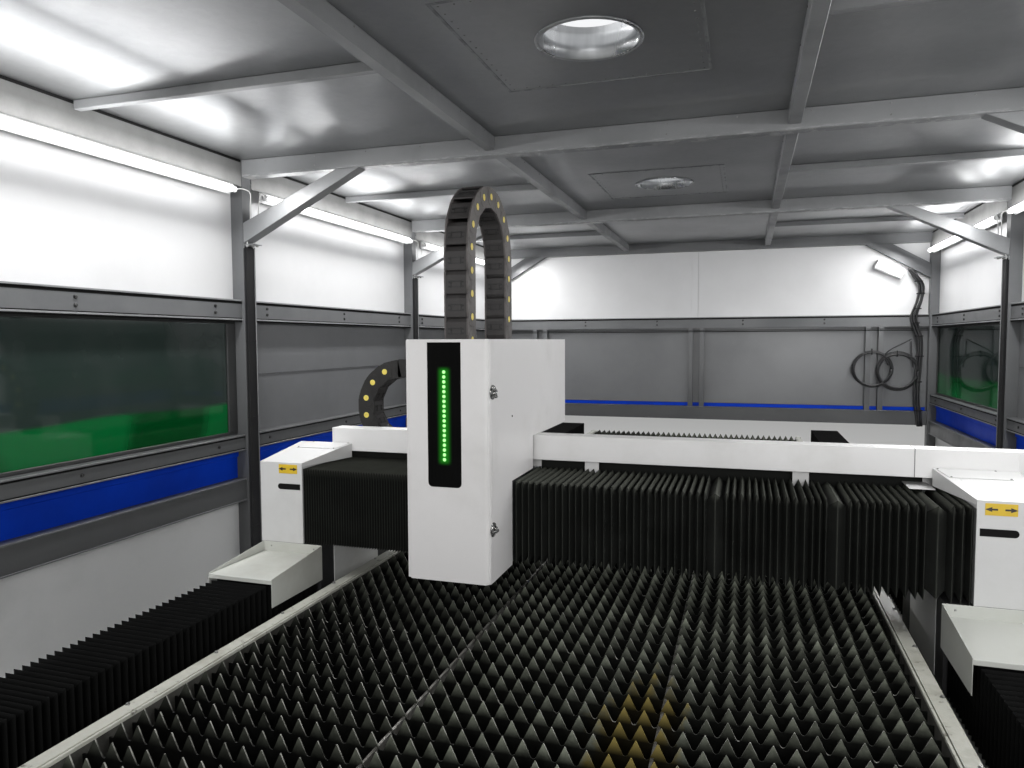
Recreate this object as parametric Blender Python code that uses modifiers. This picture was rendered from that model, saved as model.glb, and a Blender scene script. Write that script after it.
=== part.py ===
"""Enclosed gantry cutting machine with a flat slat bed.

Metres, +Z up, +X to the right along the gantry, +Y away from the open end.
The origin is on the floor under the middle of the cabin and bed.
"""
from math import cos, pi, sin

import bmesh
import bpy
from mathutils import Matrix

# Clearance between pieces that touch
GAP = 0.0003

# Cabin
MODULE = 2.27
MODULES = 3
BED_PROUD = 0.20
POST = 0.08
PANEL = 0.03
AISLE = 0.88
HEADROOM = 0.400
BEAM_DEPTH = 0.096
RAIL_DEPTH = 0.06
CHANNEL = (1.925, 2.045)
SILL = (1.16, 1.253)
SKIRT = (0.86, 0.993)
PLINTH = (0.02, 0.10)
REAR_SKIRT = (0.94, 1.08)
REAR_BAND_TOP = 1.09
STUD_LINES = (-1.755, 0, 1.755)
STUD_PAIR = (-0.04, 0.08)
STUD_LAP = 0.04
LONG_BEAM_X = 0.735
PURLIN = 0.05
BRACE_DROP = 0.24
BRACE_RUN = 0.41
BRACE_HEIGHT = 0.14
BRACE_SPREAD = 0.238
BRACE_LAP = 0.02
VENT_RADIUS = 0.175
VENT_RIM = 0.015
VENT_COLLAR = 0.10
VENT_OFFSET = 0.055
VENT_SPACING = 2.48
BATTEN = 0.06
BATTEN_DROP = 0.06
BATTEN_CHAMFER = 0.012

# Cable loom in the far right corner
LOOM_RADIUS = 0.024
LOOM_INSET = 0.16
LOOM_ROUTE = ((-0.30, 2.54), (-0.12, 2.47), (-0.02, 2.36), (0.02, 2.20), (0, 2.02), (0.03, 1.80), (0.05, 1.50),
              (0.02, 1.20), (0.04, 0.90))
COIL_PLACES = ((-0.12, 1.47), (-0.37, 1.47))
COIL_RADIUS = 0.16
COIL_BUNDLE = 0.022

# Pallet and slats
RAIL_TOP = 0.80
PALLET_HALF = 1.083
PALLET_SIDE = 0.043
PALLET_DEPTH = 0.14
PALLET_INSET = 0.06
PALLET_CLEAR = 0.16
PALLET_END_DROP = 0.03
BEARER = 0.08
BEARER_INSET = 0.10
WELD_STEP = 0.002
SLAT_SPACING = 0.194
SLAT_THICK = 0.004
SLAT_PLAY = 0.002
TOOTH_PITCH = 0.107
TOOTH_HEIGHT = 0.045
SLAT_HEIGHT = 0.135
TOOTH_PROUD = 0.015
SUPPORT_X = 0.334
SUPPORT_THICK = 0.006
RACK_GAP = 0.004

# Bed
BED_CLEAR = 0.037
BED_BEAM = 0.36
BED_TOP = 0.58
BED_PAST = 0.03
END_BEAM = 0.14
END_BEAM_DROP = 0.10
FOOT_HEIGHT = 0.05
FOOT = 0.14
FOOT_INSET = 0.25
GUIDE = 0.08
GUIDE_THICK = 0.07
LEDGE_INSET = 0.01
Y_RAIL = 0.04
SCRAP_TRAY = (0.16, 0.42)

# Bellows
FOLD_DEPTH = 0.03
FOLD_WALL = 0.003
Y_BELLOWS_CLEAR = 0.097
Y_BELLOWS_WIDTH = 0.25
Y_BELLOWS_Z = (0.63, 0.875)
Y_FOLDS_FRONT = 0.074
Y_FOLDS_REAR = 0.24
X_BELLOWS_Z = (0.94, 1.26)
X_FOLDS_LEFT = 0.03
X_FOLDS_RIGHT = 0.054

# Gantry
GANTRY_FRONT = -2.051
GANTRY_REAR = -1.30
BEAM_Y = (-1.90, -1.44)
BEAM_Z = (0.96, 1.2197)
COVER_CLEAR = 0.169
COVER_WIDTH = 0.208
COVER_Z = (0.937, 1.284)
COVER_CHAMFER = 0.004
X_RAIL = 0.03
X_RAIL_PROUD = 0.025
X_RAIL_INSET = 0.05
FOOT_SHORT = 0.10
SLOT_Z = 0.20
SLOT_X = 0.10
SLOT_HALF = 0.045
SLOT_RADIUS = 0.011
SLOT_DEPTH = 0.012
HOOD_REACH = 0.35
HOOD_CLEAR = 0.077
HOOD_WIDTH = 0.29
HOOD_FALL = 0.04
HOOD_SKIN = 0.01
HOOD_BORDER = 0.03
HOOD_SUNK = 0.009
TRAY_FRONT = -1.74
TRAY_TOP = 1.40
TRAY_FACE = 0.105
TRAY_LIP = 0.09
TRAY_PAST = 0.04
TROUGH_FLOOR = 1.255
TROUGH_REAR = -1.37
TROUGH_DROP = 0.04
BRACKET_LINES = (-0.0735, 0.747)
BRACKET = 0.06
SHEET = 0.003

# Cutting head
HEAD_X = (-0.632, -0.312)
HEAD_FRONT = -2.32
HEAD_TOP = 1.806
HEAD_BOTTOM = 0.934
HEAD_BACK = -1.195
COVER_OVER = 0.002
COVER_AHEAD = 0.028
CARRIAGE_AHEAD = 0.005
DOOR_DEPTH = 0.035
HINGE_RADIUS = 0.004
HINGE_OUT = 0.005
HINGE_HALF = 0.04
HINGE_INSET = 0.16
WINDOW_LEFT = 0.073
WINDOW_RIGHT = 0.055
WINDOW_DROP = 0.011
WINDOW_HEIGHT = 0.518
WINDOW_CORNER = 0.016
WINDOW_THICK = 0.004
LATCH_RADIUS = 0.026
LATCH_THICK = 0.006
LATCH_DROPS = (0.187, 0.678)
GRIP = 0.012
NOZZLE_Y = -2.17
NOZZLE_TIP = 0.885
NOZZLE_HEIGHT = 0.065
NECK_HEIGHT = 0.13
BODY_HEIGHT = 0.35
HEAD_RADII = (0.005, 0.014, 0.020, 0.036, 0.045, 0.028)
NOZZLE_TAPER = 0.025
CHAMFER = 0.010
SLIDE_THICK = 0.03
SLIDE_HALF = 0.08
SLIDE_RAIL_HALF = 0.06
SLIDE_Z = (1.02, 1.24)
SLIDE_RAIL_Z = (0.98, 1.23)
CARRIAGE_RELIEF = 0.04

# Drag chains
LINK_WIDTH = 0.10
LINK_HEIGHT = 0.085
LINK_PITCH = 0.0915
CHAIN_CLEAR = 0.008
X_BEND = 0.187
X_BEND_INSET = 0.208
X_LOWER_RUN = 0.85
Z_BEND = 0.2275
Z_CHAIN_INSET = 0.072
Z_CHAIN_BACK = 0.085
Z_CHAIN_SUNK = 0.19
Z_CHAIN_RISE = 0.374
CHAIN_PLATE = 0.02
NOTCH = 0.006

# Worked out from the sizes above
BED_SIDE = (PALLET_HALF + BED_CLEAR, PALLET_HALF + BED_CLEAR + BED_BEAM)
Y_BELLOWS_X = (PALLET_HALF + Y_BELLOWS_CLEAR, PALLET_HALF + Y_BELLOWS_CLEAR + Y_BELLOWS_WIDTH)
HOOD_X = (PALLET_HALF + HOOD_CLEAR, PALLET_HALF + HOOD_CLEAR + HOOD_WIDTH)
COVER_X = (PALLET_HALF + COVER_CLEAR, PALLET_HALF + COVER_CLEAR + COVER_WIDTH)
HALF_WIDTH = COVER_X[1] + AISLE
CEILING = HEAD_TOP + Z_CHAIN_RISE + Z_BEND + LINK_HEIGHT / 2 + HEADROOM
HALF_LENGTH = (BED_PROUD + MODULES * MODULE + POST + PANEL) / 2
CABIN_FRONT = -HALF_LENGTH + BED_PROUD
LINES = [CABIN_FRONT + POST / 2 + i * MODULE for i in range(MODULES + 1)]
POST_X = (HALF_WIDTH - POST, HALF_WIDTH)
WALL_Y = (LINES[0] + POST / 2 + GAP, LINES[-1] - POST / 2 - GAP)
SKIN_X = (HALF_WIDTH + GAP, HALF_WIDTH + PANEL)
SKIN_Y = (LINES[-1] + POST / 2 + GAP, HALF_LENGTH)
PALLET_Y = (-HALF_LENGTH + PALLET_INSET, LINES[-1] - PALLET_CLEAR)
HEAD_MID = sum(HEAD_X) / 2
STEP_Y = GANTRY_FRONT - CARRIAGE_AHEAD

parts = bpy.data.collections.new("fiber_laser_cutter")
cutters = bpy.data.collections.new("cutters")


def clear_scene():
    for obj in list(bpy.data.objects):
        bpy.data.objects.remove(obj, do_unlink=True)
    bpy.context.scene.collection.children.link(parts)
    bpy.context.scene.collection.children.link(cutters)


def paint(name, colour, roughness, metallic=0.0):
    """Return a plain Principled material."""
    material = bpy.data.materials.new(name)
    material.use_nodes = True
    shader = material.node_tree.nodes["Principled BSDF"]
    shader.inputs["Base Color"].default_value = (*colour, 1)
    shader.inputs["Roughness"].default_value = roughness
    shader.inputs["Metallic"].default_value = metallic
    return material


WHITE = paint("white_enamel", (0.80, 0.79, 0.78), 0.45)
CREAM = paint("cream_enamel", (0.62, 0.62, 0.56), 0.45)
GREY = paint("frame_grey", (0.20, 0.21, 0.22), 0.45)
DARK = paint("dark_grey", (0.09, 0.095, 0.10), 0.5)
ZINC = paint("galvanised_sheet", (0.35, 0.36, 0.37), 0.35, 0.8)
BLUE = paint("blue_enamel", (0.01, 0.05, 0.45), 0.4)
GLASS = paint("green_glass", (0.01, 0.10, 0.04), 0.08)
PLEAT = paint("bellows_cloth", (0.02, 0.02, 0.02), 0.7)
LINK = paint("chain_plastic", (0.04, 0.04, 0.042), 0.5)
BARE = paint("slat_steel", (0.07, 0.07, 0.072), 0.5, 0.7)
STEEL = paint("machined_steel", (0.55, 0.55, 0.56), 0.3, 1.0)
ACRYLIC = paint("black_acrylic", (0.01, 0.01, 0.01), 0.15)
CORD = paint("black_cord", (0.015, 0.015, 0.015), 0.6)


def place(obj, material, tool=False):
    """Put an object in its collection and give it its material."""
    (cutters if tool else parts).objects.link(obj)
    if material:
        obj.data.materials.append(material)
    if tool:
        obj.hide_render = True
        obj.display_type = "WIRE"
    return obj


def block(name, x, y, z, material=None, tool=False):
    """A box between two corners, with its origin at its centre."""
    mesh = bpy.data.meshes.new(name)
    bm = bmesh.new()
    size = (x[1] - x[0], y[1] - y[0], z[1] - z[0])
    bmesh.ops.create_cube(bm, size=1, matrix=Matrix.Diagonal((*size, 1)))
    bm.to_mesh(mesh)
    bm.free()
    obj = bpy.data.objects.new(name, mesh)
    obj.location = ((x[0] + x[1]) / 2, (y[0] + y[1]) / 2, (z[0] + z[1]) / 2)
    return place(obj, material, tool)


def drum(name, radius, depth, centre, axis, sides, material=None, tool=False):
    """A cylinder on the X, Y or Z axis."""
    turn = {"X": Matrix.Rotation(pi / 2, 4, "Y"), "Y": Matrix.Rotation(pi / 2, 4, "X"),
            "Z": Matrix.Identity(4)}[axis]
    mesh = bpy.data.meshes.new(name)
    bm = bmesh.new()
    bmesh.ops.create_cone(bm, cap_ends=True, segments=sides, radius1=radius,
                          radius2=radius, depth=depth, matrix=turn)
    bm.to_mesh(mesh)
    bm.free()
    obj = bpy.data.objects.new(name, mesh)
    obj.location = centre
    return place(obj, material, tool)


def as_mesh(obj, tool=False):
    """Turn a curve into a welded mesh object of the same name and place."""
    bpy.context.view_layer.update()
    graph = bpy.context.evaluated_depsgraph_get()
    mesh = bpy.data.meshes.new_from_object(obj.evaluated_get(graph))
    bm = bmesh.new()
    bm.from_mesh(mesh)
    bmesh.ops.remove_doubles(bm, verts=bm.verts, dist=0.00001)
    bmesh.ops.recalc_face_normals(bm, faces=bm.faces)
    bm.to_mesh(mesh)
    bm.free()
    name, matrix = obj.name, obj.matrix_world.copy()
    bpy.data.objects.remove(obj, do_unlink=True)
    solid = bpy.data.objects.new(name, mesh)
    solid.matrix_world = matrix
    return place(solid, None, tool)


def outline(name, points, thick, centre, plane, material=None, tool=False):
    """A flat outline given a thickness: XZ lies across Y, YZ lies across X."""
    curve = bpy.data.curves.new(name, "CURVE")
    curve.dimensions = "2D"
    curve.fill_mode = "BOTH"
    curve.extrude = thick / 2
    spline = curve.splines.new("POLY")
    spline.points.add(len(points) - 1)
    for point, (a, b) in zip(spline.points, points):
        point.co = (a, b, 0, 1)
    spline.use_cyclic_u = True
    obj = bpy.data.objects.new(name, curve)
    obj.rotation_euler = {"XZ": (pi / 2, 0, 0), "YZ": (pi / 2, 0, pi / 2)}[plane]
    obj.location = {"XZ": (0, centre, 0), "YZ": (centre, 0, 0)}[plane]
    place(obj, material, tool)
    return as_mesh(obj, tool)


def fuse(target, *pieces):
    """Weld tool pieces onto a target."""
    for piece in pieces:
        joint = target.modifiers.new("fuse_" + piece.name, "BOOLEAN")
        joint.operation = "UNION"
        joint.object = piece
    return target


def cut(target, *pieces):
    """Cut tool pieces out of a target."""
    for piece in pieces:
        joint = target.modifiers.new("cut_" + piece.name, "BOOLEAN")
        joint.operation = "DIFFERENCE"
        joint.object = piece
    return target


def soften(obj, width):
    """A single chamfer along the sharp edges."""
    bevel = obj.modifiers.new("edge", "BEVEL")
    bevel.width = width
    bevel.segments = 1
    return obj


def side_span(side, span):
    """A span of X on the left (-1) or right (+1)."""
    return tuple(sorted((side * span[0], side * span[1])))


def side_name(side):
    return "left" if side < 0 else "right"


def loft(name, rings, material):
    """A closed solid through rings of points, with flat ends."""
    mesh = bpy.data.meshes.new(name)
    bm = bmesh.new()
    rows = [[bm.verts.new(point) for point in ring] for ring in rings]
    count = len(rings[0])
    for near, far in zip(rows, rows[1:]):
        for i in range(count):
            j = (i + 1) % count
            bm.faces.new((near[i], near[j], far[j], far[i]))
    bm.faces.new(rows[0])
    bm.faces.new(reversed(rows[-1]))
    bmesh.ops.recalc_face_normals(bm, faces=bm.faces)
    bm.to_mesh(mesh)
    bm.free()
    return place(bpy.data.objects.new(name, mesh), material)


# Cabin
def portal_frame():
    posts_z = (0, CEILING)
    y = (LINES[0] - POST / 2, LINES[0] + POST / 2)
    header = block("portal_frame", (-HALF_WIDTH, HALF_WIDTH), y,
                   (CEILING - BEAM_DEPTH, CEILING), GREY)
    outer = HALF_WIDTH + PANEL
    posts = [block("portal_post", side_span(s, (POST_X[0], outer)), y, posts_z, tool=True)
             for s in (-1, 1)]
    fuse(header, *posts)


def wall_frame(side):
    """Middle posts and long rails of one side wall, welded."""
    frame = block("wall_frame_" + side_name(side), side_span(side, (HALF_WIDTH - RAIL_DEPTH, HALF_WIDTH)),
                  WALL_Y, (CEILING - BEAM_DEPTH, CEILING), GREY)
    members = []
    for line in LINES[1:-1]:
        members.append(block("wall_post", side_span(side, POST_X),
                             (line - POST / 2, line + POST / 2), (0, CEILING), tool=True))
    for low, high in (CHANNEL, SILL, SKIRT, PLINTH):
        members.append(block("wall_rail", side_span(side, (HALF_WIDTH - RAIL_DEPTH, HALF_WIDTH)),
                             WALL_Y, (low, high), tool=True))
    fuse(frame, *members)


def rear_frame():
    """Corner posts, rails, double studs and corner braces of the end wall."""
    y = (LINES[-1] - POST / 2, LINES[-1] + POST / 2)
    rail_y = (y[1] - RAIL_DEPTH, y[1])
    span = (-HALF_WIDTH, HALF_WIDTH)
    frame = block("rear_frame", span, y, (CEILING - BEAM_DEPTH, CEILING), GREY)
    members = [block("rear_post", side_span(s, POST_X), y, (0, CEILING), tool=True) for s in (-1, 1)]
    for low, high in (CHANNEL, REAR_SKIRT):
        members.append(block("rear_rail", span, rail_y, (low, high), tool=True))
    for middle in STUD_LINES:
        for shift in STUD_PAIR:
            stud = (middle + shift - PURLIN / 2, middle + shift + PURLIN / 2)
            members.append(block("rear_stud", stud, rail_y,
                                 (REAR_SKIRT[1] - STUD_LAP, CHANNEL[0] + STUD_LAP), tool=True))
    members += [brace("rear_brace", s, LINES[-1], -BRACE_LAP, tool=True) for s in (-1, 1)]
    fuse(frame, *members)


def brace(name, side, line, seat, material=None, tool=False):
    """A knee brace in the plane of one frame, from post to beam."""
    inner = POST_X[0] - seat
    under = CEILING - BEAM_DEPTH - seat
    points = [(inner, under - BRACE_DROP - BRACE_HEIGHT), (inner, under - BRACE_DROP),
              (inner - BRACE_RUN, under), (inner - BRACE_RUN - BRACE_SPREAD, under)]
    points = [(side * x, z) for x, z in points]
    return outline(name, points, PURLIN, line, "XZ", material, tool)


def roof_frame():
    """Cross beams on the post lines, long beams and purlins, welded."""
    reach = POST_X[0] - GAP
    deep = (CEILING - BEAM_DEPTH, CEILING)
    long_z = (CEILING - POST, CEILING)
    light_z = (CEILING - PURLIN, CEILING)
    frame = block("roof_frame", (-reach, reach), (LINES[1] - POST / 2, LINES[1] + POST / 2), deep, GREY)
    members = []
    for line in LINES[2:-1]:
        members.append(block("cross_beam", (-reach, reach), (line - POST / 2, line + POST / 2), deep, tool=True))
    for s in (-1, 1):
        x = side_span(s, (LONG_BEAM_X - POST / 2, LONG_BEAM_X + POST / 2))
        members.append(block("long_beam", x, WALL_Y, long_z, tool=True))
        for near, far in zip(LINES, LINES[1:]):
            middle = (near + far) / 2
            x = side_span(s, (LONG_BEAM_X, HALF_WIDTH - RAIL_DEPTH - GAP))
            y = (middle - PURLIN / 2, middle + PURLIN / 2)
            members.append(block("purlin", x, y, light_z, tool=True))
    fuse(frame, *members)


def roof_sheet():
    """Sheet roof with two round exhaust collars."""
    outer = HALF_WIDTH + PANEL
    z = (CEILING + GAP, CEILING + PANEL)
    roof = block("roof_sheet", (-outer, outer), (CABIN_FRONT, HALF_LENGTH), z, ZINC)
    first = (LINES[0] + LINES[1]) / 2 + VENT_OFFSET
    for y in (first, first + VENT_SPACING):
        middle = (0, y, z[1] + VENT_COLLAR / 2 - VENT_RIM)
        fuse(roof, drum("vent_collar", VENT_RADIUS + VENT_RIM, VENT_COLLAR, middle, "Z", 28, tool=True))
        cut(roof, drum("vent_hole", VENT_RADIUS, VENT_COLLAR * 3, middle, "Z", 28, tool=True))


def skins():
    """Wall panels, windows and blue bands, in one layer outside the frames."""
    low = (GAP, sum(SKIRT) / 2 - GAP)
    band = (sum(SKIRT) / 2, sum(SILL) / 2 - GAP)
    middle = (sum(SILL) / 2, sum(CHANNEL) / 2 - GAP)
    upper = (sum(CHANNEL) / 2, CEILING)
    y = (WALL_Y[0], SKIN_Y[0] - GAP)
    for s in (-1, 1):
        x = side_span(s, SKIN_X)
        name = side_name(s)
        block("lower_panel_" + name, x, y, low, WHITE)
        block("blue_band_" + name, x, y, band, BLUE)
        block("upper_panel_" + name, x, y, upper, WHITE)
        split = LINES[1] if s < 0 else LINES[2]
        near, far = (y[0], split - GAP), (split, y[1])
        window, grey = (near, far) if s < 0 else (far, near)
        block("window_" + name, x, window, middle, GLASS)
        block("grey_panel_" + name, x, grey, middle, GREY)
    outer = HALF_WIDTH + PANEL
    block("blue_band_rear", (-outer, outer), SKIN_Y, (REAR_SKIRT[0], REAR_BAND_TOP - GAP), BLUE)
    block("grey_panel_rear", (-outer, outer), SKIN_Y, (REAR_BAND_TOP, middle[1]), GREY)
    block("upper_panel_rear", (-outer, outer), SKIN_Y, upper, WHITE)


def battens():
    """LED battens hung inside the posts, just under the roof edge."""
    for s in (-1, 1):
        x = side_span(s, (POST_X[0] - GAP - BATTEN, POST_X[0] - GAP))
        top = CEILING - BEAM_DEPTH - BATTEN_DROP
        points_z = (top - BATTEN, top)
        tube = block("light_batten_" + side_name(s), x, (WALL_Y[0] + POST, WALL_Y[1] - POST), points_z, WHITE)
        soften(tube, BATTEN_CHAMFER)


def cable_loom():
    """Bundle clipped in the far right corner, with two coils hung on it."""
    y = LINES[-1] + POST / 2 - RAIL_DEPTH - GAP - LOOM_RADIUS
    x = POST_X[0] - LOOM_INSET
    curve = bpy.data.curves.new("rear_cable_loom", "CURVE")
    curve.dimensions = "3D"
    curve.bevel_depth = LOOM_RADIUS
    curve.bevel_resolution = 2
    curve.use_fill_caps = True
    spline = curve.splines.new("POLY")
    spline.points.add(len(LOOM_ROUTE) - 1)
    for point, (shift, z) in zip(spline.points, LOOM_ROUTE):
        point.co = (x + shift, y, z, 1)
    loom = as_mesh(place(bpy.data.objects.new("rear_cable_loom", curve), CORD))
    for shift, z in COIL_PLACES:
        coil = ring("cable_coil", COIL_RADIUS, COIL_BUNDLE)
        coil.location = (x + shift, y, z)
        fuse(loom, coil)


def ring(name, radius, bundle):
    """A standing ring, used to weld on a coil of cable."""
    turns, sides = 16, 6
    mesh = bpy.data.meshes.new(name)
    bm = bmesh.new()
    rows = []
    for i in range(turns):
        a = 2 * pi * i / turns
        reach = [radius + bundle * cos(2 * pi * k / sides) for k in range(sides)]
        rows.append([bm.verts.new((r * cos(a), bundle * sin(2 * pi * k / sides), r * sin(a)))
                     for k, r in enumerate(reach)])
    for i in range(turns):
        near, far = rows[i], rows[(i + 1) % turns]
        for k in range(sides):
            j = (k + 1) % sides
            bm.faces.new((near[k], near[j], far[j], far[k]))
    bmesh.ops.recalc_face_normals(bm, faces=bm.faces)
    bm.to_mesh(mesh)
    bm.free()
    return place(bpy.data.objects.new(name, mesh), None, tool=True)


# Bed and pallet
def bed_frame():
    """Box beams, guide ledges, end beams and feet, welded."""
    y = (-HALF_LENGTH, PALLET_Y[1] + BED_PAST)
    z = (FOOT_HEIGHT, BED_TOP)
    across = (-BED_SIDE[0] - GUIDE, BED_SIDE[0] + GUIDE)
    bed = block("bed_frame", across, (y[0], y[0] + END_BEAM), (FOOT_HEIGHT, BED_TOP - END_BEAM_DROP), WHITE)
    guide_top = RAIL_TOP - PALLET_DEPTH - PURLIN - GAP
    members = [block("rear_beam", across, (y[1] - END_BEAM, y[1]), (FOOT_HEIGHT, BED_TOP - END_BEAM_DROP),
                     tool=True)]
    rail_x = (sum(Y_BELLOWS_X) / 2 - Y_RAIL / 2, sum(Y_BELLOWS_X) / 2 + Y_RAIL / 2)
    rail_y = (y[0] + 4 * LEDGE_INSET, y[1] - 4 * LEDGE_INSET)
    foot_x = (sum(BED_SIDE) / 2 - FOOT / 2, sum(BED_SIDE) / 2 + FOOT / 2)
    step = (y[1] - y[0] - 2 * FOOT_INSET) / (MODULES + 1)
    for s in (-1, 1):
        members.append(block("side_beam", side_span(s, BED_SIDE), y, z, tool=True))
        members.append(block("guide_ledge", side_span(s, (BED_SIDE[0] - GUIDE, BED_SIDE[0] + GUIDE / 2)),
                             (y[0] + LEDGE_INSET, y[1] - LEDGE_INSET), (BED_TOP - GUIDE_THICK, guide_top), tool=True))
        members.append(block("y_rail", side_span(s, rail_x), rail_y, (BED_TOP - Y_RAIL / 2, BED_TOP + Y_RAIL),
                             tool=True))
        for i in range(MODULES + 2):
            middle = y[0] + FOOT_INSET + i * step
            members.append(block("foot", side_span(s, foot_x), (middle - FOOT / 2, middle + FOOT / 2),
                                 (0, FOOT_HEIGHT + Y_RAIL / 2), tool=True))
    fuse(bed, *members)


def scrap_tray():
    """Open sheet tray between the bed beams, below the pallet."""
    x = BED_SIDE[0] - GAP
    wall = 2 * SHEET
    low, high = SCRAP_TRAY
    points = [(-x, high), (-x, low), (x, low), (x, high), (x - wall, high), (x - wall, low + wall),
              (-x + wall, low + wall), (-x + wall, high)]
    y = (-HALF_LENGTH + END_BEAM + GAP, PALLET_Y[1] + BED_PAST - END_BEAM - GAP)
    outline("scrap_tray", points, y[1] - y[0], (y[0] + y[1]) / 2, "XZ", DARK)


def pallet_frame():
    """Side beams, end beams and cross bearers that carry the slat racks."""
    low = RAIL_TOP - PALLET_DEPTH - PURLIN
    sides = (PALLET_HALF - PALLET_SIDE, PALLET_HALF)
    half = PALLET_HALF - PALLET_SIDE / 2
    frame = block("pallet_frame", side_span(-1, sides), PALLET_Y, (low, RAIL_TOP), CREAM)
    members = [block("pallet_side", side_span(1, sides), PALLET_Y, (low, RAIL_TOP), tool=True)]
    for y, inward in ((PALLET_Y[0], PALLET_SIDE), (PALLET_Y[1], -PALLET_SIDE)):
        members.append(block("pallet_end", (-half, half), tuple(sorted((y + inward / 20, y + inward))),
                             (low + 2 * WELD_STEP, RAIL_TOP - PALLET_END_DROP), tool=True))
    for line in LINES:
        y = min(max(line, PALLET_Y[0] + BEARER_INSET), PALLET_Y[1] - BEARER_INSET)
        members.append(block("bearer", (-half + WELD_STEP, half - WELD_STEP), (y - BEARER / 2, y + BEARER / 2),
                             (low + WELD_STEP, low + PURLIN), tool=True))
    fuse(frame, *members)


def slat_points():
    """The side view of one slat: a flat strip with a row of pointed teeth."""
    half = PALLET_HALF - PALLET_SIDE - SLAT_PLAY
    tip = RAIL_TOP + TOOTH_PROUD
    count = int(2 * half / TOOTH_PITCH)
    start = -count * TOOTH_PITCH / 2
    points = [(-half, tip - SLAT_HEIGHT), (half, tip - SLAT_HEIGHT), (half, tip - TOOTH_HEIGHT)]
    for i in reversed(range(count)):
        points.append((start + (i + 0.5) * TOOTH_PITCH, tip))
        points.append((start + i * TOOTH_PITCH, tip - TOOTH_HEIGHT))
    points[-1] = (-half, tip - TOOTH_HEIGHT)
    return points


def slat_racks():
    """Three racks: slats slotted over two long support bars."""
    reach = PALLET_Y[1] - PALLET_Y[0] - 2 * PALLET_SIDE - 2 * GAP
    third = reach / 3
    bar_z = (RAIL_TOP - PALLET_DEPTH + GAP, RAIL_TOP - PALLET_DEPTH + SLAT_HEIGHT / 2)
    for i, name in enumerate(("front", "middle", "rear")):
        near = PALLET_Y[0] + PALLET_SIDE + GAP + i * third + RACK_GAP / 2
        far = near + third - RACK_GAP
        half = SUPPORT_THICK / 2
        bars = [block("slat_rack_" + name, (s * SUPPORT_X - half, s * SUPPORT_X + half), (near, far), bar_z,
                      BARE if s < 0 else None, tool=s > 0) for s in (-1, 1)]
        count = int((far - near) / SLAT_SPACING)
        first = (near + far - (count - 1) * SLAT_SPACING) / 2
        slats = outline("slats_" + name, slat_points(), SLAT_THICK, first, "XZ", None, tool=True)
        repeat = slats.modifiers.new("repeat", "ARRAY")
        repeat.count = count
        repeat.use_relative_offset = False
        repeat.use_constant_offset = True
        repeat.constant_offset_displace = (0, 0, -SLAT_SPACING)
        fuse(bars[0], slats, bars[1])


# Bellows
def pleats(start, end, pitch):
    """Even places of peaks and valleys between two ends."""
    folds = max(2, round(abs(end - start) / pitch))
    return [(start + (end - start) * k / (2 * folds), k % 2 == 0) for k in range(2 * folds + 1)]


def x_bellows(side):
    """Cover of the beam between an end cover and the carriage, open at the back."""
    if side < 0:
        start, end, pitch = -COVER_X[0] + GAP, HEAD_X[0] - GAP, X_FOLDS_LEFT
    else:
        start, end, pitch = COVER_X[0] - GAP, HEAD_X[1] + GAP, X_FOLDS_RIGHT
    rings = []
    for x, peak in pleats(start, end, pitch):
        inset = 0 if peak else FOLD_DEPTH
        ring = []
        for wall in (inset, inset + FOLD_WALL):
            front, low, high = GANTRY_FRONT + wall, X_BELLOWS_Z[0] + wall, X_BELLOWS_Z[1] - wall
            loop = [(BEAM_Y[0] - FOLD_DEPTH, low), (front, low), (front, high), (TRAY_FRONT + TRAY_LIP / 2, high)]
            ring += loop if wall == inset else loop[::-1]
        rings.append([(x, y, z) for y, z in ring])
    loft("x_bellows_" + side_name(side), rings, PLEAT)


def y_bellows(side, name, start, end, pitch):
    """Cover of one Y rail: an upside-down trough of pleats."""
    rings = []
    for y, peak in pleats(start, end, pitch):
        inset = 0 if peak else FOLD_DEPTH
        ring = []
        for wall in (inset, inset + FOLD_WALL):
            near, far, high = Y_BELLOWS_X[0] + wall, Y_BELLOWS_X[1] - wall, Y_BELLOWS_Z[1] - wall
            loop = [(near, Y_BELLOWS_Z[0]), (near, high), (far, high), (far, Y_BELLOWS_Z[0])]
            ring += loop if wall == inset else loop[::-1]
        rings.append([(side * x, y, z) for x, z in ring])
    loft("y_bellows_" + name + "_" + side_name(side), rings, PLEAT)


# Gantry
def gantry():
    """Beam with its X rails, and a foot, an end cover and a hood at each end."""
    beam = block("gantry_beam", (-COVER_X[0] + GAP, COVER_X[0] - GAP), BEAM_Y, BEAM_Z, STEEL)
    inner = COVER_X[0] - X_RAIL
    rails = [block("x_rail", (-inner, inner), (BEAM_Y[0] - X_RAIL_PROUD, BEAM_Y[0] + HOOD_SKIN),
                   (z - X_RAIL / 2, z + X_RAIL / 2), tool=True)
             for z in (BEAM_Z[0] + X_RAIL_INSET, BEAM_Z[1] - X_RAIL_INSET)]
    fuse(beam, *rails)
    for s in (-1, 1):
        end_cover(s, side_name(s))
        block("gantry_foot_" + side_name(s), side_span(s, (HOOD_X[0] + HOOD_SKIN, HOOD_X[1])),
              (GANTRY_FRONT + COVER_OVER, GANTRY_REAR - FOOT_SHORT), (BED_TOP + Y_RAIL + GAP, COVER_Z[0] - GAP), DARK)
        hood(s, side_name(s))


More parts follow.
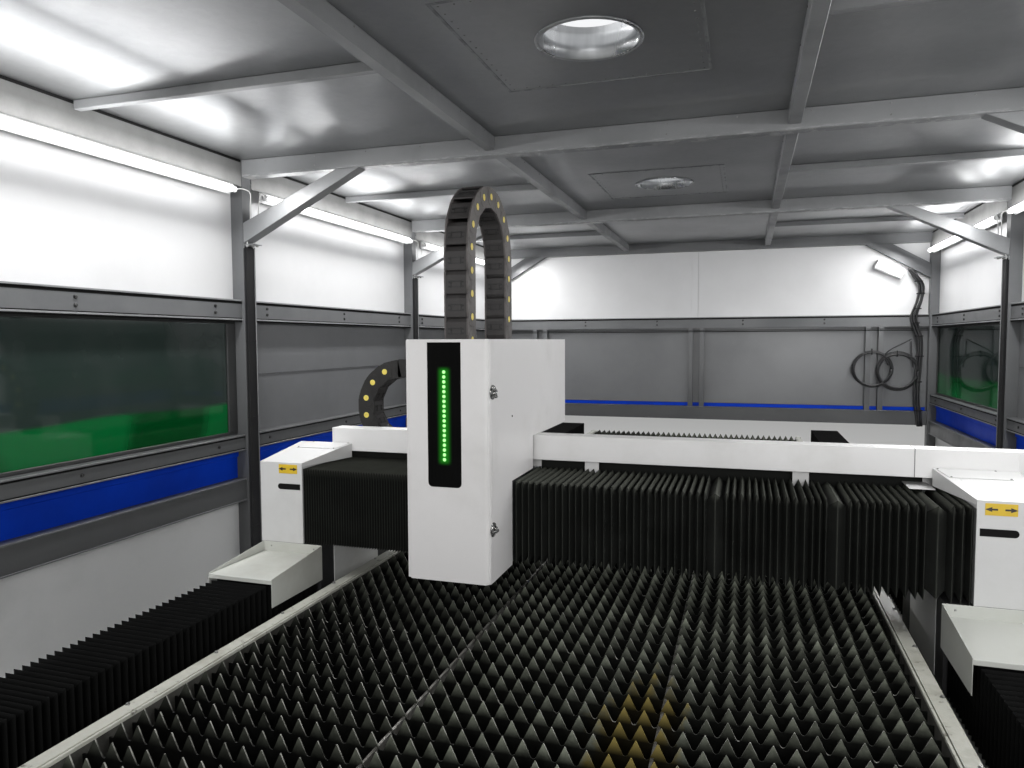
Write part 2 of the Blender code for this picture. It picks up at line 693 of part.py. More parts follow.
def end_cover(side, name):
    """Stepped cover of one end of the beam, with a round-ended slot in front."""
    under = TROUGH_FLOOR - 2 * SHEET
    behind = TRAY_FRONT + TRAY_LIP - 2 * SHEET
    side_view = [(GANTRY_FRONT, COVER_Z[0]), (GANTRY_REAR, COVER_Z[0]), (GANTRY_REAR, under), (behind, under),
                 (behind, COVER_Z[1]), (GANTRY_FRONT, COVER_Z[1])]
    cover = outline("gantry_end_" + name, side_view, COVER_WIDTH, side * sum(COVER_X) / 2, "YZ", WHITE)
    soften(cover, COVER_CHAMFER)
    z = COVER_Z[0] + SLOT_Z
    middle = side * (COVER_X[0] + SLOT_X)
    y = (GANTRY_FRONT - SLOT_DEPTH, GANTRY_FRONT + SLOT_DEPTH)
    slot = block("slot", (middle - SLOT_HALF, middle + SLOT_HALF), y, (z - SLOT_RADIUS, z + SLOT_RADIUS), tool=True)
    ends = [drum("slot_end", SLOT_RADIUS, 2 * SLOT_DEPTH, (middle + e, GANTRY_FRONT, z), "Y", 12, tool=True)
            for e in (-SLOT_HALF, SLOT_HALF)]
    cut(cover, slot, *ends)


def hood(side, name):
    """Folded hood over the end of a Y bellows, with a sunk top plate."""
    front, rear = GANTRY_FRONT - HOOD_REACH, GANTRY_FRONT + COVER_OVER - GAP
    low, high = RAIL_TOP - HOOD_SKIN, COVER_Z[0]
    past = HOOD_SKIN
    middle = side * sum(HOOD_X) / 2
    points = [(front, low), (rear, low), (rear, high), (front, high - HOOD_FALL)]
    shell = outline("gantry_hood_" + name, points, HOOD_WIDTH, middle, "YZ", WHITE)
    roof = high - HOOD_FALL - HOOD_SKIN
    inner = [(front - past, low - past), (rear + past, low - past), (rear + past, roof), (front - past, roof - SHEET)]
    hollow = outline("hood_hollow", inner, HOOD_WIDTH - 2 * SHEET, middle, "YZ", None, tool=True)
    ends = (front + HOOD_BORDER, rear - HOOD_BORDER)
    slope = HOOD_FALL / HOOD_REACH
    sunk = [(y, high - HOOD_SUNK - slope * (rear - y)) for y in ends]
    sunk += [(ends[1], high + past), (ends[0], high + past)]
    pocket = outline("hood_pocket", sunk, HOOD_WIDTH - 2 * HOOD_BORDER, middle, "YZ", None, tool=True)
    cut(shell, hollow, pocket)


def cable_tray():
    """One folded sheet: front face, lip and trough, with brackets to the beam."""
    t = SHEET
    bend = TRAY_FRONT + TRAY_LIP
    rim = TRAY_TOP - TROUGH_DROP
    route = [(TRAY_FRONT, TRAY_TOP - TRAY_FACE), (TRAY_FRONT, TRAY_TOP), (bend, TRAY_TOP), (bend, TROUGH_FLOOR),
             (TROUGH_REAR, TROUGH_FLOOR), (TROUGH_REAR, rim)]
    back = [(TRAY_FRONT + t, TRAY_TOP - TRAY_FACE), (TRAY_FRONT + t, TRAY_TOP - t), (bend - t, TRAY_TOP - t),
            (bend - t, TROUGH_FLOOR - t), (TROUGH_REAR + t, TROUGH_FLOOR - t), (TROUGH_REAR + t, rim)]
    x = (-COVER_X[0] - TRAY_PAST, COVER_X[1])
    tray = outline("cable_tray", route + back[::-1], x[1] - x[0], sum(x) / 2, "YZ", WHITE)
    y = (bend + BRACKET / 2, BEAM_Y[1] - BRACKET / 2)
    legs = [block("tray_bracket", (middle - BRACKET / 2, middle + BRACKET / 2), y,
                  (BEAM_Z[1] + GAP, TROUGH_FLOOR - t / 2), tool=True) for middle in BRACKET_LINES]
    fuse(tray, *legs)


# Drag chains
def link_edge(length, links, height):
    """Both edges of a run of links: flat sides with a small notch at each joint."""
    outer = [(0, height / 2)]
    for i in range(1, links):
        joint = length * i / links
        outer += [(joint - NOTCH, height / 2), (joint, height / 2 - NOTCH), (joint + NOTCH, height / 2)]
    outer.append((length, height / 2))
    inner = [(s, -r) for s, r in reversed(outer)]
    return outer + inner


def straight_chain(name, start, along, length, plane, centre):
    """A straight run from a start point, in the direction along."""
    links = max(1, round(length / LINK_PITCH))
    across = (-along[1], along[0])
    points = [(start[0] + along[0] * s + across[0] * r, start[1] + along[1] * s + across[1] * r)
              for s, r in link_edge(length, links, LINK_HEIGHT)]
    return outline(name, points, LINK_WIDTH, centre, plane, LINK)


def bend_chain(name, middle, radius, first, plane, centre):
    """A half circle of links round a middle point, starting at an angle."""
    length = pi * radius
    links = max(3, round(length / LINK_PITCH))
    points = []
    for s, r in link_edge(length, links, LINK_HEIGHT):
        a = first + s / radius
        points.append((middle[0] + (radius + r) * cos(a), middle[1] + (radius + r) * sin(a)))
    return outline(name, points, LINK_WIDTH, centre, plane, LINK)


def x_chain():
    """Lies in the trough, bends back over and runs to the head."""
    y = (TRAY_FRONT + TRAY_LIP + TROUGH_REAR) / 2
    low = TROUGH_FLOOR + GAP + LINK_HEIGHT / 2
    bend_x = -COVER_X[0] + X_BEND_INSET
    straight_chain("x_chain_lower", (bend_x + GAP, low), (1, 0), X_LOWER_RUN, "XZ", y)
    bend_chain("x_chain_bend", (bend_x, low + X_BEND), X_BEND, pi / 2, "XZ", y)
    upper = HEAD_X[0] - GAP - (bend_x + GAP)
    straight_chain("x_chain_upper", (bend_x + GAP, low + 2 * X_BEND), (1, 0), upper, "XZ", y)


def z_chain():
    """Stands on the head cover, arches over and hangs down to the laser head."""
    x = HEAD_X[0] + Z_CHAIN_INSET + LINK_WIDTH / 2
    front_y = NOZZLE_Y + Z_CHAIN_BACK
    rear_y = front_y + 2 * Z_BEND
    arch_z = HEAD_TOP + Z_CHAIN_RISE
    straight_chain("z_chain_rear", (rear_y, HEAD_TOP + GAP), (0, 1), arch_z - HEAD_TOP - 2 * GAP, "YZ", x)
    bend_chain("z_chain_arch", (front_y + Z_BEND, arch_z), Z_BEND, 0, "YZ", x)
    foot = HEAD_TOP - Z_CHAIN_SUNK
    straight_chain("z_chain_front", (front_y, foot + GAP), (0, 1), arch_z - foot - 2 * GAP, "YZ", x)
    return x, front_y, foot


# Cutting head
def head_cover(chain_x, chain_y):
    """Stepped sheet cover that reaches over the gantry, open in front and below."""
    seam = HEAD_FRONT + DOOR_DEPTH
    front = seam + GAP
    over_bellows = X_BELLOWS_Z[1] + COVER_OVER
    over_tray = TRAY_TOP + COVER_OVER
    ahead = TRAY_FRONT - COVER_AHEAD
    points = [(front, HEAD_BOTTOM), (STEP_Y, HEAD_BOTTOM), (STEP_Y, over_bellows), (ahead, over_bellows),
              (ahead, over_tray), (HEAD_BACK, over_tray), (HEAD_BACK, HEAD_TOP), (front, HEAD_TOP)]
    width = HEAD_X[1] - HEAD_X[0]
    cover = outline("head_cover", points, width, HEAD_MID, "YZ", WHITE)
    past = CHAIN_CLEAR
    inner = [(front - past, HEAD_BOTTOM - past), (STEP_Y - SHEET, HEAD_BOTTOM - past),
             (STEP_Y - SHEET, over_bellows + SHEET), (ahead - SHEET, over_bellows + SHEET),
             (ahead - SHEET, over_tray + SHEET), (HEAD_BACK - SHEET, over_tray + SHEET),
             (HEAD_BACK - SHEET, HEAD_TOP - SHEET), (front - past, HEAD_TOP - SHEET)]
    hollow = outline("cover_hollow", inner, width - 2 * SHEET, HEAD_MID, "YZ", None, tool=True)
    half = LINK_WIDTH / 2 + CHAIN_CLEAR
    deep = LINK_HEIGHT / 2 + CHAIN_CLEAR
    slot = block("chain_slot", (chain_x - half, chain_x + half), (chain_y - deep, chain_y + deep),
                 (HEAD_TOP - deep, HEAD_TOP + deep), tool=True)
    back = block("arm_slot", (HEAD_X[0] + SLIDE_THICK, HEAD_X[1] - SLIDE_THICK), (STEP_Y - deep, STEP_Y + deep),
                 (HEAD_BOTTOM + SLIDE_THICK, X_BELLOWS_Z[1] - CHAIN_PLATE), tool=True)
    cut(cover, hollow, slot, back)
    for z in (HEAD_TOP - HINGE_INSET, HEAD_BOTTOM + HINGE_INSET):
        leaf_x = (HEAD_X[0] - 2 * SHEET, HEAD_X[0] + SHEET / 3)
        leaf_y = (seam + HINGE_RADIUS - SHEET / 6, seam + HINGE_HALF)
        leaf = block("hinge_leaf", leaf_x, leaf_y, (z - HINGE_HALF, z + HINGE_HALF), tool=True)
        middle = (HEAD_X[0] - HINGE_OUT, seam, z)
        knuckle = drum("hinge_knuckle", HINGE_RADIUS, 2 * HINGE_HALF, middle, "Z", 10, tool=True)
        fuse(cover, leaf, knuckle)


def carriage():
    """Plate that runs on the X rails between the two bellows."""
    plate = block("x_carriage", HEAD_X, (STEP_Y + GAP, BEAM_Y[0] - X_RAIL_PROUD - GAP),
                  (X_BELLOWS_Z[0] + 2 * COVER_OVER, X_BELLOWS_Z[1] - COVER_OVER), STEEL)
    inset = X_RAIL_INSET + CARRIAGE_RELIEF
    groove = block("relief", (HEAD_X[0] - GUIDE, HEAD_X[1] + GUIDE), (BEAM_Y[0] - X_RAIL_PROUD - X_RAIL, BEAM_Y[0]),
                   (BEAM_Z[0] + inset, BEAM_Z[1] - inset), tool=True)
    cut(plate, groove)


def laser_head(chain_x, chain_y, chain_foot):
    """Turned head and nozzle on a slide plate, with the chain's plate on top."""
    tip, low, neck, body, collar, pipe = HEAD_RADII
    shoulder = NOZZLE_TIP + NOZZLE_HEIGHT
    waist = shoulder + NECK_HEIGHT
    crown = waist + BODY_HEIGHT
    profile = [(0, chain_foot), (pipe, chain_foot), (pipe, crown + CHAMFER), (collar, crown),
               (collar, waist + CHAMFER * 2), (body, waist), (body, shoulder + NOZZLE_TAPER), (neck, shoulder),
               (low, NOZZLE_TIP + NOZZLE_TAPER), (tip, NOZZLE_TIP), (0, NOZZLE_TIP)]
    mesh = bpy.data.meshes.new("laser_head")
    bm = bmesh.new()
    ring_points = [bm.verts.new((r, 0, z)) for r, z in profile]
    for a, b in zip(ring_points, ring_points[1:]):
        bm.edges.new((a, b))
    bm.to_mesh(mesh)
    bm.free()
    head = place(bpy.data.objects.new("laser_head", mesh), DARK)
    head.location = (HEAD_MID, NOZZLE_Y, 0)
    turn = head.modifiers.new("turn", "SCREW")
    turn.steps = turn.render_steps = 16
    turn.use_merge_vertices = True
    turn.merge_threshold = 0.00005
    rail_y = STEP_Y - SHEET - SLIDE_THICK
    slide = block("slide_plate", (HEAD_MID - SLIDE_HALF, HEAD_MID + SLIDE_HALF), (NOZZLE_Y + X_RAIL, rail_y), SLIDE_Z,
                  tool=True)
    plate_y = (NOZZLE_Y - CHAIN_PLATE, chain_y + LINK_HEIGHT / 2)
    plate = block("chain_plate", (chain_x - LINK_WIDTH / 2, HEAD_MID + CHAIN_PLATE), plate_y,
                  (chain_foot - CHAIN_PLATE, chain_foot), tool=True)
    fuse(head, slide, plate)
    rail_x = (HEAD_MID - SLIDE_RAIL_HALF, HEAD_MID + SLIDE_RAIL_HALF)
    block("z_slide", rail_x, (rail_y + GAP, STEP_Y), SLIDE_RAIL_Z, STEEL)


def head_door():
    """Shallow pan on the front of the cover, with a window cut-out."""
    y = (HEAD_FRONT, HEAD_FRONT + DOOR_DEPTH)
    door = block("head_door", HEAD_X, y, (HEAD_BOTTOM, HEAD_TOP), WHITE)
    pan = block("door_hollow", (HEAD_X[0] + SHEET, HEAD_X[1] - SHEET), (y[0] + SHEET, y[1] + SHEET),
                (HEAD_BOTTOM + SHEET, HEAD_TOP - SHEET), tool=True)
    hole = outline("window_hole", window_points(0), 4 * SHEET, y[0], "XZ", None, tool=True)
    cut(door, pan, hole)
    middle = y[0] + SHEET - WINDOW_THICK / 2 + SHEET / 3
    outline("led_window", window_points(GAP), WINDOW_THICK, middle, "XZ", ACRYLIC)


def window_points(clearance):
    """Window outline: square above, rounded below."""
    x = (HEAD_MID - WINDOW_LEFT + clearance, HEAD_MID + WINDOW_RIGHT - clearance)
    top = HEAD_TOP - WINDOW_DROP
    z = (top - WINDOW_HEIGHT + clearance, top - clearance)
    r = WINDOW_CORNER
    points = [(x[1], z[1]), (x[0], z[1])]
    for k in range(5):
        a = pi + pi / 2 * k / 4
        points.append((x[0] + r + r * cos(a), z[0] + r + r * sin(a)))
    for k in range(5):
        a = 3 * pi / 2 + pi / 2 * k / 4
        points.append((x[1] - r + r * cos(a), z[0] + r + r * sin(a)))
    return points


def latch(name, z):
    """Quarter-turn latch on the door's right flange."""
    y = HEAD_FRONT + DOOR_DEPTH
    x = HEAD_X[1] + GAP
    knob = drum(name, LATCH_RADIUS, LATCH_THICK, (x + LATCH_THICK / 2, y, z), "X", 20, STEEL)
    reach = LATCH_RADIUS - LATCH_THICK
    grip = block("grip", (x + LATCH_THICK / 2, x + LATCH_THICK + GRIP), (y - GRIP / 2, y + GRIP / 2),
                 (z - reach, z + reach), tool=True)
    fuse(knob, grip)


def build():
    clear_scene()
    portal_frame()
    rear_frame()
    roof_frame()
    roof_sheet()
    skins()
    battens()
    cable_loom()
    bed_frame()
    scrap_tray()
    pallet_frame()
    slat_racks()
    gantry()
    cable_tray()
    x_chain()
    bed_y = (-HALF_LENGTH + BED_PAST, PALLET_Y[1])
    for s in (-1, 1):
        wall_frame(s)
        for line in LINES[1:-1]:
            row = "near" if line == LINES[1] else "far"
            brace("knee_brace_" + row + "_" + side_name(s), s, line, GAP, GREY)
        x_bellows(s)
        y_bellows(s, "front", bed_y[0], GANTRY_FRONT + COVER_OVER - GAP, Y_FOLDS_FRONT)
        y_bellows(s, "rear", bed_y[1], GANTRY_REAR - FOOT_SHORT + GAP, Y_FOLDS_REAR)
    chain_x, chain_y, chain_foot = z_chain()
    head_cover(chain_x, chain_y)
    carriage()
    laser_head(chain_x, chain_y, chain_foot)
    head_door()
    for name, drop in zip(("latch_upper", "latch_lower"), LATCH_DROPS):
        latch(name, HEAD_TOP - drop)
    bpy.context.view_layer.update()


build()
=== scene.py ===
import bpy
import bmesh
import random
from math import pi, sin, cos, asin, radians
from mathutils import Matrix, Vector


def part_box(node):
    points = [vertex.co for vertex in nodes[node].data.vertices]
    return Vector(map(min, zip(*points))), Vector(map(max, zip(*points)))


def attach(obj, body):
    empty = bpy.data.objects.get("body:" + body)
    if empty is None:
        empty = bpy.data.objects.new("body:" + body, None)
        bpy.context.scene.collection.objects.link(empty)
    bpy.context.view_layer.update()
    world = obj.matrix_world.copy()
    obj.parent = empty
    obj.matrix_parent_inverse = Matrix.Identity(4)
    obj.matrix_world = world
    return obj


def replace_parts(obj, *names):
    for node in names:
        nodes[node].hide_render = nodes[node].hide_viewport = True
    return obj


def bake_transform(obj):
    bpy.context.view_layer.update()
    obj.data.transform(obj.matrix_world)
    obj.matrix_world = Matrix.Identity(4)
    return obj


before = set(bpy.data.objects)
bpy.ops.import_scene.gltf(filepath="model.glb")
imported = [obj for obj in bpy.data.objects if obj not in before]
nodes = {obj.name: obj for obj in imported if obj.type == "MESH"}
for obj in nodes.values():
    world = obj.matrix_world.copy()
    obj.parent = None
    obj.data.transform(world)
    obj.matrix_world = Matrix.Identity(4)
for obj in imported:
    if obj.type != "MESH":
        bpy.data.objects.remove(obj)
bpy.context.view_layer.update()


# Camera. It stands at eye height outside the portal opening and looks down the
# length of the machine, a little to the left and down.
camera_yaw, camera_pitch, camera_roll = radians(17.7246), radians(3.3795), radians(0.2349)
ahead = Vector((-sin(camera_yaw) * cos(camera_pitch), cos(camera_yaw) * cos(camera_pitch), -sin(camera_pitch)))
level = Vector((cos(camera_yaw), sin(camera_yaw), 0))
below = ahead.cross(level)
sideways = cos(camera_roll) * level + sin(camera_roll) * below
downward = -sin(camera_roll) * level + cos(camera_roll) * below
camera = bpy.data.objects.new("photo_camera", bpy.data.cameras.new("photo_camera"))
camera.data.lens = 25.777
camera.data.sensor_width = 36
camera.data.clip_end = 60
bpy.context.scene.collection.objects.link(camera)
camera_turn = Matrix((sideways, -downward, -ahead)).transposed().to_4x4()
camera.matrix_world = Matrix.Translation((0.54, -4.72, 1.80)) @ camera_turn
bpy.context.scene.camera = camera
bpy.context.scene.view_settings.view_transform = "Standard"


# Studio. A pale floor under the machine, a white surround that only the camera,
# glossy and glass rays see, and soft light that reaches in through the portal.
FLOOR_HALF = 14
FLOOR_COLOUR = (0.70, 0.70, 0.69)
SKY_LIGHT = 0.42


def joined(tree, kind, settings=(), **inputs):
    """Add a node; inputs are plain values or the sockets that feed it, by name or number."""
    node = tree.nodes.new(kind)
    for key, value in dict(settings).items():
        setattr(node, key, value)
    for key, value in inputs.items():
        key = int(key[1:]) if key[0] == "_" else key.replace("_", " ")
        if isinstance(value, bpy.types.NodeSocket):
            tree.links.new(value, node.inputs[key])
        else:
            node.inputs[key].default_value = value
    return node


def maths(tree, operation, *values):
    """Add a maths node and give its result."""
    inputs = {f"_{number}": value for number, value in enumerate(values)}
    return joined(tree, "ShaderNodeMath", {"operation": operation}, **inputs).outputs[0]


floor_grid = bmesh.new()
bmesh.ops.create_grid(floor_grid, x_segments=4, y_segments=4, size=FLOOR_HALF)
floor_mesh = bpy.data.meshes.new("floor")
floor_grid.to_mesh(floor_mesh)
floor_grid.free()
floor = bpy.data.objects.new("floor", floor_mesh)
bpy.context.scene.collection.objects.link(floor)
floor_paint = bpy.data.materials.new("pale_floor")
floor_paint.use_nodes = True
floor_look = floor_paint.node_tree.nodes["Principled BSDF"].inputs
floor_look["Base Color"].default_value = (*FLOOR_COLOUR, 1)
floor_look["Roughness"].default_value = 0.8
floor.data.materials.append(floor_paint)

world = bpy.data.worlds.new("studio")
bpy.context.scene.world = world
world.use_nodes = True
tree = world.node_tree
soft_sky = tree.nodes["Background"]
soft_sky.inputs["Color"].default_value = (0.98, 0.98, 0.98, 1)
soft_sky.inputs["Strength"].default_value = SKY_LIGHT
white_sky = joined(tree, "ShaderNodeBackground", Color=(0.93, 0.94, 0.95, 1), Strength=1.0)
path = joined(tree, "ShaderNodeLightPath").outputs
seen = maths(tree, "MAXIMUM", path["Is Camera Ray"], path["Is Glossy Ray"])
seen = maths(tree, "MAXIMUM", seen, path["Is Transmission Ray"])
choice = joined(tree, "ShaderNodeMixShader", _0=seen, _1=soft_sky.outputs[0], _2=white_sky.outputs[0])
tree.links.new(choice.outputs[0], tree.nodes["World Output"].inputs["Surface"])


def soft_lamp(name, place, aim, width, height, power):
    """A rectangular area light at a place, aimed at a point."""
    data = bpy.data.lights.new(name, "AREA")
    data.shape = "RECTANGLE"
    data.size, data.size_y, data.energy = width, height, power
    lamp = bpy.data.objects.new(name, data)
    lamp.location = place
    lamp.rotation_euler = (Vector(aim) - Vector(place)).to_track_quat("-Z", "Y").to_euler()
    bpy.context.scene.collection.objects.link(lamp)
    return lamp


soft_lamp("portal_light", (1.5, -9.6, 2.7), (0.0, -1.5, 1.2), 4.5, 2.2, 290)
soft_lamp("over_roof_light", (-2.0, 2.0, 9.0), (0.0, 0.0, 2.0), 8.0, 8.0, 420)


# Cabin frame. Welded square steel tubes and folded channel rails, sprayed mid grey in
# the workshop; the roof beams carry thin whitish scuffs along their lower edges.
FRAME_GREY = (0.112, 0.115, 0.118)
FRAME_SCUFF = (0.33, 0.33, 0.33)
BEAM_GREY = (0.200, 0.204, 0.208)
POST_LINES = (-3.32, -1.05, 1.22, 3.49)
RAIL_FACE, REAR_FACE, POST_FACE = 2.28, 3.4698, 2.2598
BOLT_STEPS = (0.196, 1.108, 2.003)


def new_group(name, kind, wanted, given):
    """A node group with named inputs (name, kind, value) and outputs (name, kind)."""
    group = bpy.data.node_groups.new(name, kind)
    for label, kind, value in wanted:
        socket = group.interface.new_socket(label, in_out="INPUT", socket_type="NodeSocket" + kind)
        if value is not None:
            socket.default_value = value
    for label, kind in given:
        group.interface.new_socket(label, in_out="OUTPUT", socket_type="NodeSocket" + kind)
    return group, group.nodes.new("NodeGroupInput").outputs, group.nodes.new("NodeGroupOutput").inputs


def remap(tree, value, low, high, at_low=0.0, at_high=1.0, kind="LINEAR"):
    """A value carried evenly from one range onto another and held at both ends."""
    return joined(tree, "ShaderNodeMapRange", {"interpolation_type": kind}, Value=value, From_Min=low, From_Max=high,
                  To_Min=at_low, To_Max=at_high).outputs[0]


def mixed(tree, factor, first, second):
    """A colour between two, by a factor."""
    return joined(tree, "ShaderNodeMix", {"data_type": "RGBA"}, Factor=factor, _6=first, _7=second).outputs[2]


def noise(tree, place, scale, detail=2.0, rough=0.5):
    """Soft random grey over a place."""
    return joined(tree, "ShaderNodeTexNoise", Vector=place, Scale=scale, Detail=detail, Roughness=rough).outputs[0]


def scaled(tree, colour, factor):
    """A colour made darker or lighter by a factor."""
    return joined(tree, "ShaderNodeVectorMath", {"operation": "SCALE"}, _0=colour, Scale=factor).outputs[0]


def apart(tree, place):
    """The three coordinates of a place."""
    return joined(tree, "ShaderNodeSeparateXYZ", Vector=place).outputs


def surface_group():
    """Two tones in soft patches with a fine grain, for paint, plastic, cloth and metal."""
    group, into, out = new_group("surface_tones", "ShaderNodeTree", (
        ("Place", "Vector", None), ("Colour", "Color", (0.5, 0.5, 0.5, 1)),
        ("Second Colour", "Color", (0.4, 0.4, 0.4, 1)), ("Patch Scale", "Float", 3.0),
        ("Patch Low", "Float", 0.45), ("Patch High", "Float", 0.7), ("Roughness", "Float", 0.4),
        ("Second Roughness", "Float", 0.5), ("Grain Scale", "Float", 90.0), ("Grain Tone", "Float", 0.06)),
        (("Colour", "Color"), ("Roughness", "Float"), ("Height", "Float"), ("Patch", "Float")))
    patch = remap(group, noise(group, into["Place"], into["Patch Scale"], 5.0, 0.62), into["Patch Low"],
                  into["Patch High"], kind="SMOOTHSTEP")
    grain = noise(group, into["Place"], into["Grain Scale"], 3.0)
    tone = maths(group, "MULTIPLY_ADD", maths(group, "SUBTRACT", grain, 0.5), into["Grain Tone"], 1.0)
    colour = scaled(group, mixed(group, patch, into["Colour"], into["Second Colour"]), tone)
    rough = joined(group, "ShaderNodeMix", {"data_type": "FLOAT"}, Factor=patch, _2=into["Roughness"],
                   _3=into["Second Roughness"]).outputs[0]
    height = maths(group, "MULTIPLY_ADD", patch, 0.25, grain)
    for name, value in (("Colour", colour), ("Roughness", rough), ("Height", height), ("Patch", patch)):
        group.links.new(value, out[name])
    return group


SURFACE = surface_group()


def finish(name, colour, second, patch=(3.0, 0.45, 0.7), rough=(0.4, 0.5), grain=90.0, tone=0.06, bump=0.0002,
           metal=0.0, gloss=0.5, stretch=(1, 1, 1)):
    """A material with the two-tone surface."""
    material = bpy.data.materials.new(name)
    material.use_nodes = True
    tree = material.node_tree
    shader = tree.nodes["Principled BSDF"]
    spot = joined(tree, "ShaderNodeTexCoord")
    centred = joined(tree, "ShaderNodeMapping", Vector=spot.outputs["Object"], Scale=stretch)
    tones = joined(tree, "ShaderNodeGroup", {"node_tree": SURFACE}, Place=centred.outputs[0],
                   Colour=(*colour, 1), Second_Colour=(*second, 1), Patch_Scale=patch[0], Patch_Low=patch[1],
                   Patch_High=patch[2], Roughness=rough[0], Second_Roughness=rough[1], Grain_Scale=grain,
                   Grain_Tone=tone)
    relief = joined(tree, "ShaderNodeBump", Height=tones.outputs["Height"], Strength=1.0, Distance=bump)
    tree.links.new(tones.outputs["Colour"], shader.inputs["Base Color"])
    tree.links.new(tones.outputs["Roughness"], shader.inputs["Roughness"])
    tree.links.new(relief.outputs[0], shader.inputs["Normal"])
    shader.inputs["Metallic"].default_value = metal
    shader.inputs["Specular IOR Level"].default_value = gloss
    return material


def inside(material):
    """The tree of a material, its shader's inputs, the colour that feeds them and its own coordinates."""
    tree = material.node_tree
    into = tree.nodes["Principled BSDF"].inputs
    return tree, into, into["Base Color"].links[0].from_socket, tree.nodes["Texture Coordinate"].outputs["Object"]


def dress(material, *names):
    """Give carried-over solids their finish."""
    for name in names:
        for place in nodes[name].material_slots:
            place.material = material


def shaded_by_height(material, low, high, at_low, at_high):
    """Multiply a finish's colour by a factor that changes evenly between two heights."""
    tree, into, colour, spot = inside(material)
    factor = remap(tree, apart(tree, spot)["Z"], low, high, at_low, at_high)
    tree.links.new(scaled(tree, colour, factor), into["Base Color"])
    return material


# The frame paint grows darker from 1.9 m down towards the floor: painted shade.
frame_paint = shaded_by_height(finish("frame_paint", FRAME_GREY, (0.098, 0.101, 0.105), (2.2, 0.42, 0.68),
                                      (0.42, 0.55), 140.0, 0.10), 0.7, 1.9, 0.38, 1.0)
beam_paint = finish("beam_paint", BEAM_GREY, (0.160, 0.164, 0.168), (1.7, 0.40, 0.66), (0.36, 0.5), 140.0, 0.10)
tree, into, colour, spot = inside(beam_paint)
height = apart(tree, spot)["Z"]
low_edge = remap(tree, height, 2.772, 2.756)
streaky = joined(tree, "ShaderNodeMapping", Vector=spot, Scale=(3.0, 3.0, 30.0)).outputs[0]
peeled = remap(tree, noise(tree, streaky, 4.0, 6.0, 0.7), 0.50, 0.58)
over = remap(tree, height, 2.7536, 2.7539)
scuffed = maths(tree, "MULTIPLY", maths(tree, "MULTIPLY", low_edge, peeled), over)
tree.links.new(mixed(tree, scuffed, colour, (*FRAME_SCUFF, 1)), into["Base Color"])
# The beam paint, also on the rail lips, flanges, ledge and braces, grows darker from 1.9 m down: painted shade.
shaded_by_height(beam_paint, 0.8, 1.9, 0.40, 1.0)
dress(frame_paint, "wall_frame_left", "wall_frame_right", "rear_frame", "portal_frame")


def mesh_of(name, bm):
    """Close a mesh work into a mesh, with its faces turned outwards."""
    bmesh.ops.recalc_face_normals(bm, faces=bm.faces)
    mesh = bpy.data.meshes.new(name)
    bm.to_mesh(mesh)
    bm.free()
    return mesh


def linked(name, mesh, body=None, smooth=False):
    """Put a mesh in the scene, riding on its body."""
    mesh.polygons.foreach_set("use_smooth", [smooth] * len(mesh.polygons))
    piece = bpy.data.objects.new(name, mesh)
    bpy.context.scene.collection.objects.link(piece)
    if body:
        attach(piece, body)
    return piece


def piece_of(name, bm, material, body="machine", smooth=False):
    """Turn built mesh work into a finished piece that rides on its body."""
    mesh = mesh_of(name, bm)
    mesh.materials.append(material)
    return linked(name, mesh, body, smooth)


def bar(bm, one, other, edge=0.0, turn=Matrix()):
    """Add a box between two opposite corners, with its edges chamfered by edge, and turned."""
    size = [abs(b - a) for a, b in zip(one, other)]
    middle = [(a + b) / 2 for a, b in zip(one, other)]
    made = bmesh.ops.create_cube(bm, size=1, matrix=turn @ Matrix.Translation(middle) @ Matrix.Diagonal((*size, 1)))
    if edge:
        rims = list({e for v in made["verts"] for e in v.link_edges})
        bmesh.ops.bevel(bm, geom=rims, offset=edge, segments=1, affect="EDGES", profile=0.5)


def soften(piece, width, segments=2, angle=30):
    """Round the sharp folds of a piece."""
    soft = piece.modifiers.new("folds", "BEVEL")
    soft.width, soft.segments, soft.limit_method, soft.angle_limit = width, segments, "ANGLE", radians(angle)


def joined_rows(bm, rows, ends=True):
    """Faces between rows of as many points or of one, and over the first and the last row."""
    for a, b in zip(rows, rows[1:]):
        count = max(len(a), len(b))
        for i in range(count):
            j = (i + 1) % count
            corners = [a[i % len(a)], a[j % len(a)], b[j % len(b)], b[i % len(b)]]
            bm.faces.new([v for n, v in enumerate(corners) if v not in corners[:n]])
    if ends:
        bm.faces.new(rows[0][::-1])
        bm.faces.new(rows[-1])


def profile_along(bm, points, start, end, axis="Y"):
    """Sweep a closed outline along an axis. Outline is (x, z) for Y, (y, z) for X and (x, y) for Z."""
    def at(p, s):
        return {"Y": (p[0], s, p[1]), "X": (s, p[0], p[1]), "Z": (p[0], p[1], s)}[axis]
    joined_rows(bm, [[bm.verts.new(at(p, s)) for p in points] for s in (start, end)])


def placing_tree():
    """Geometry nodes: the Shape on each point of the mesh, turned by its turn attribute."""
    tree, into, out = new_group("placed_fittings", "GeometryNodeTree", (
        ("Geometry", "Geometry", None), ("Shape", "Object", None), ("Size", "Float", None),
        ("Finish", "Material", None)), (("Geometry", "Geometry"),))
    shape = joined(tree, "GeometryNodeObjectInfo", Object=into["Shape"])
    turn = joined(tree, "GeometryNodeInputNamedAttribute", {"data_type": "FLOAT_VECTOR"}, Name="turn")
    spin = joined(tree, "FunctionNodeEulerToRotation", _0=turn.outputs[0])
    put = joined(tree, "GeometryNodeInstanceOnPoints", Points=into["Geometry"], Instance=shape.outputs["Geometry"],
                 Rotation=spin.outputs[0], Scale=into["Size"])
    real = joined(tree, "GeometryNodeRealizeInstances", Geometry=put.outputs[0])
    painted = joined(tree, "GeometryNodeSetMaterial", Geometry=real.outputs[0], Material=into["Finish"])
    tree.links.new(painted.outputs[0], out[0])
    return tree


PLACED = placing_tree()


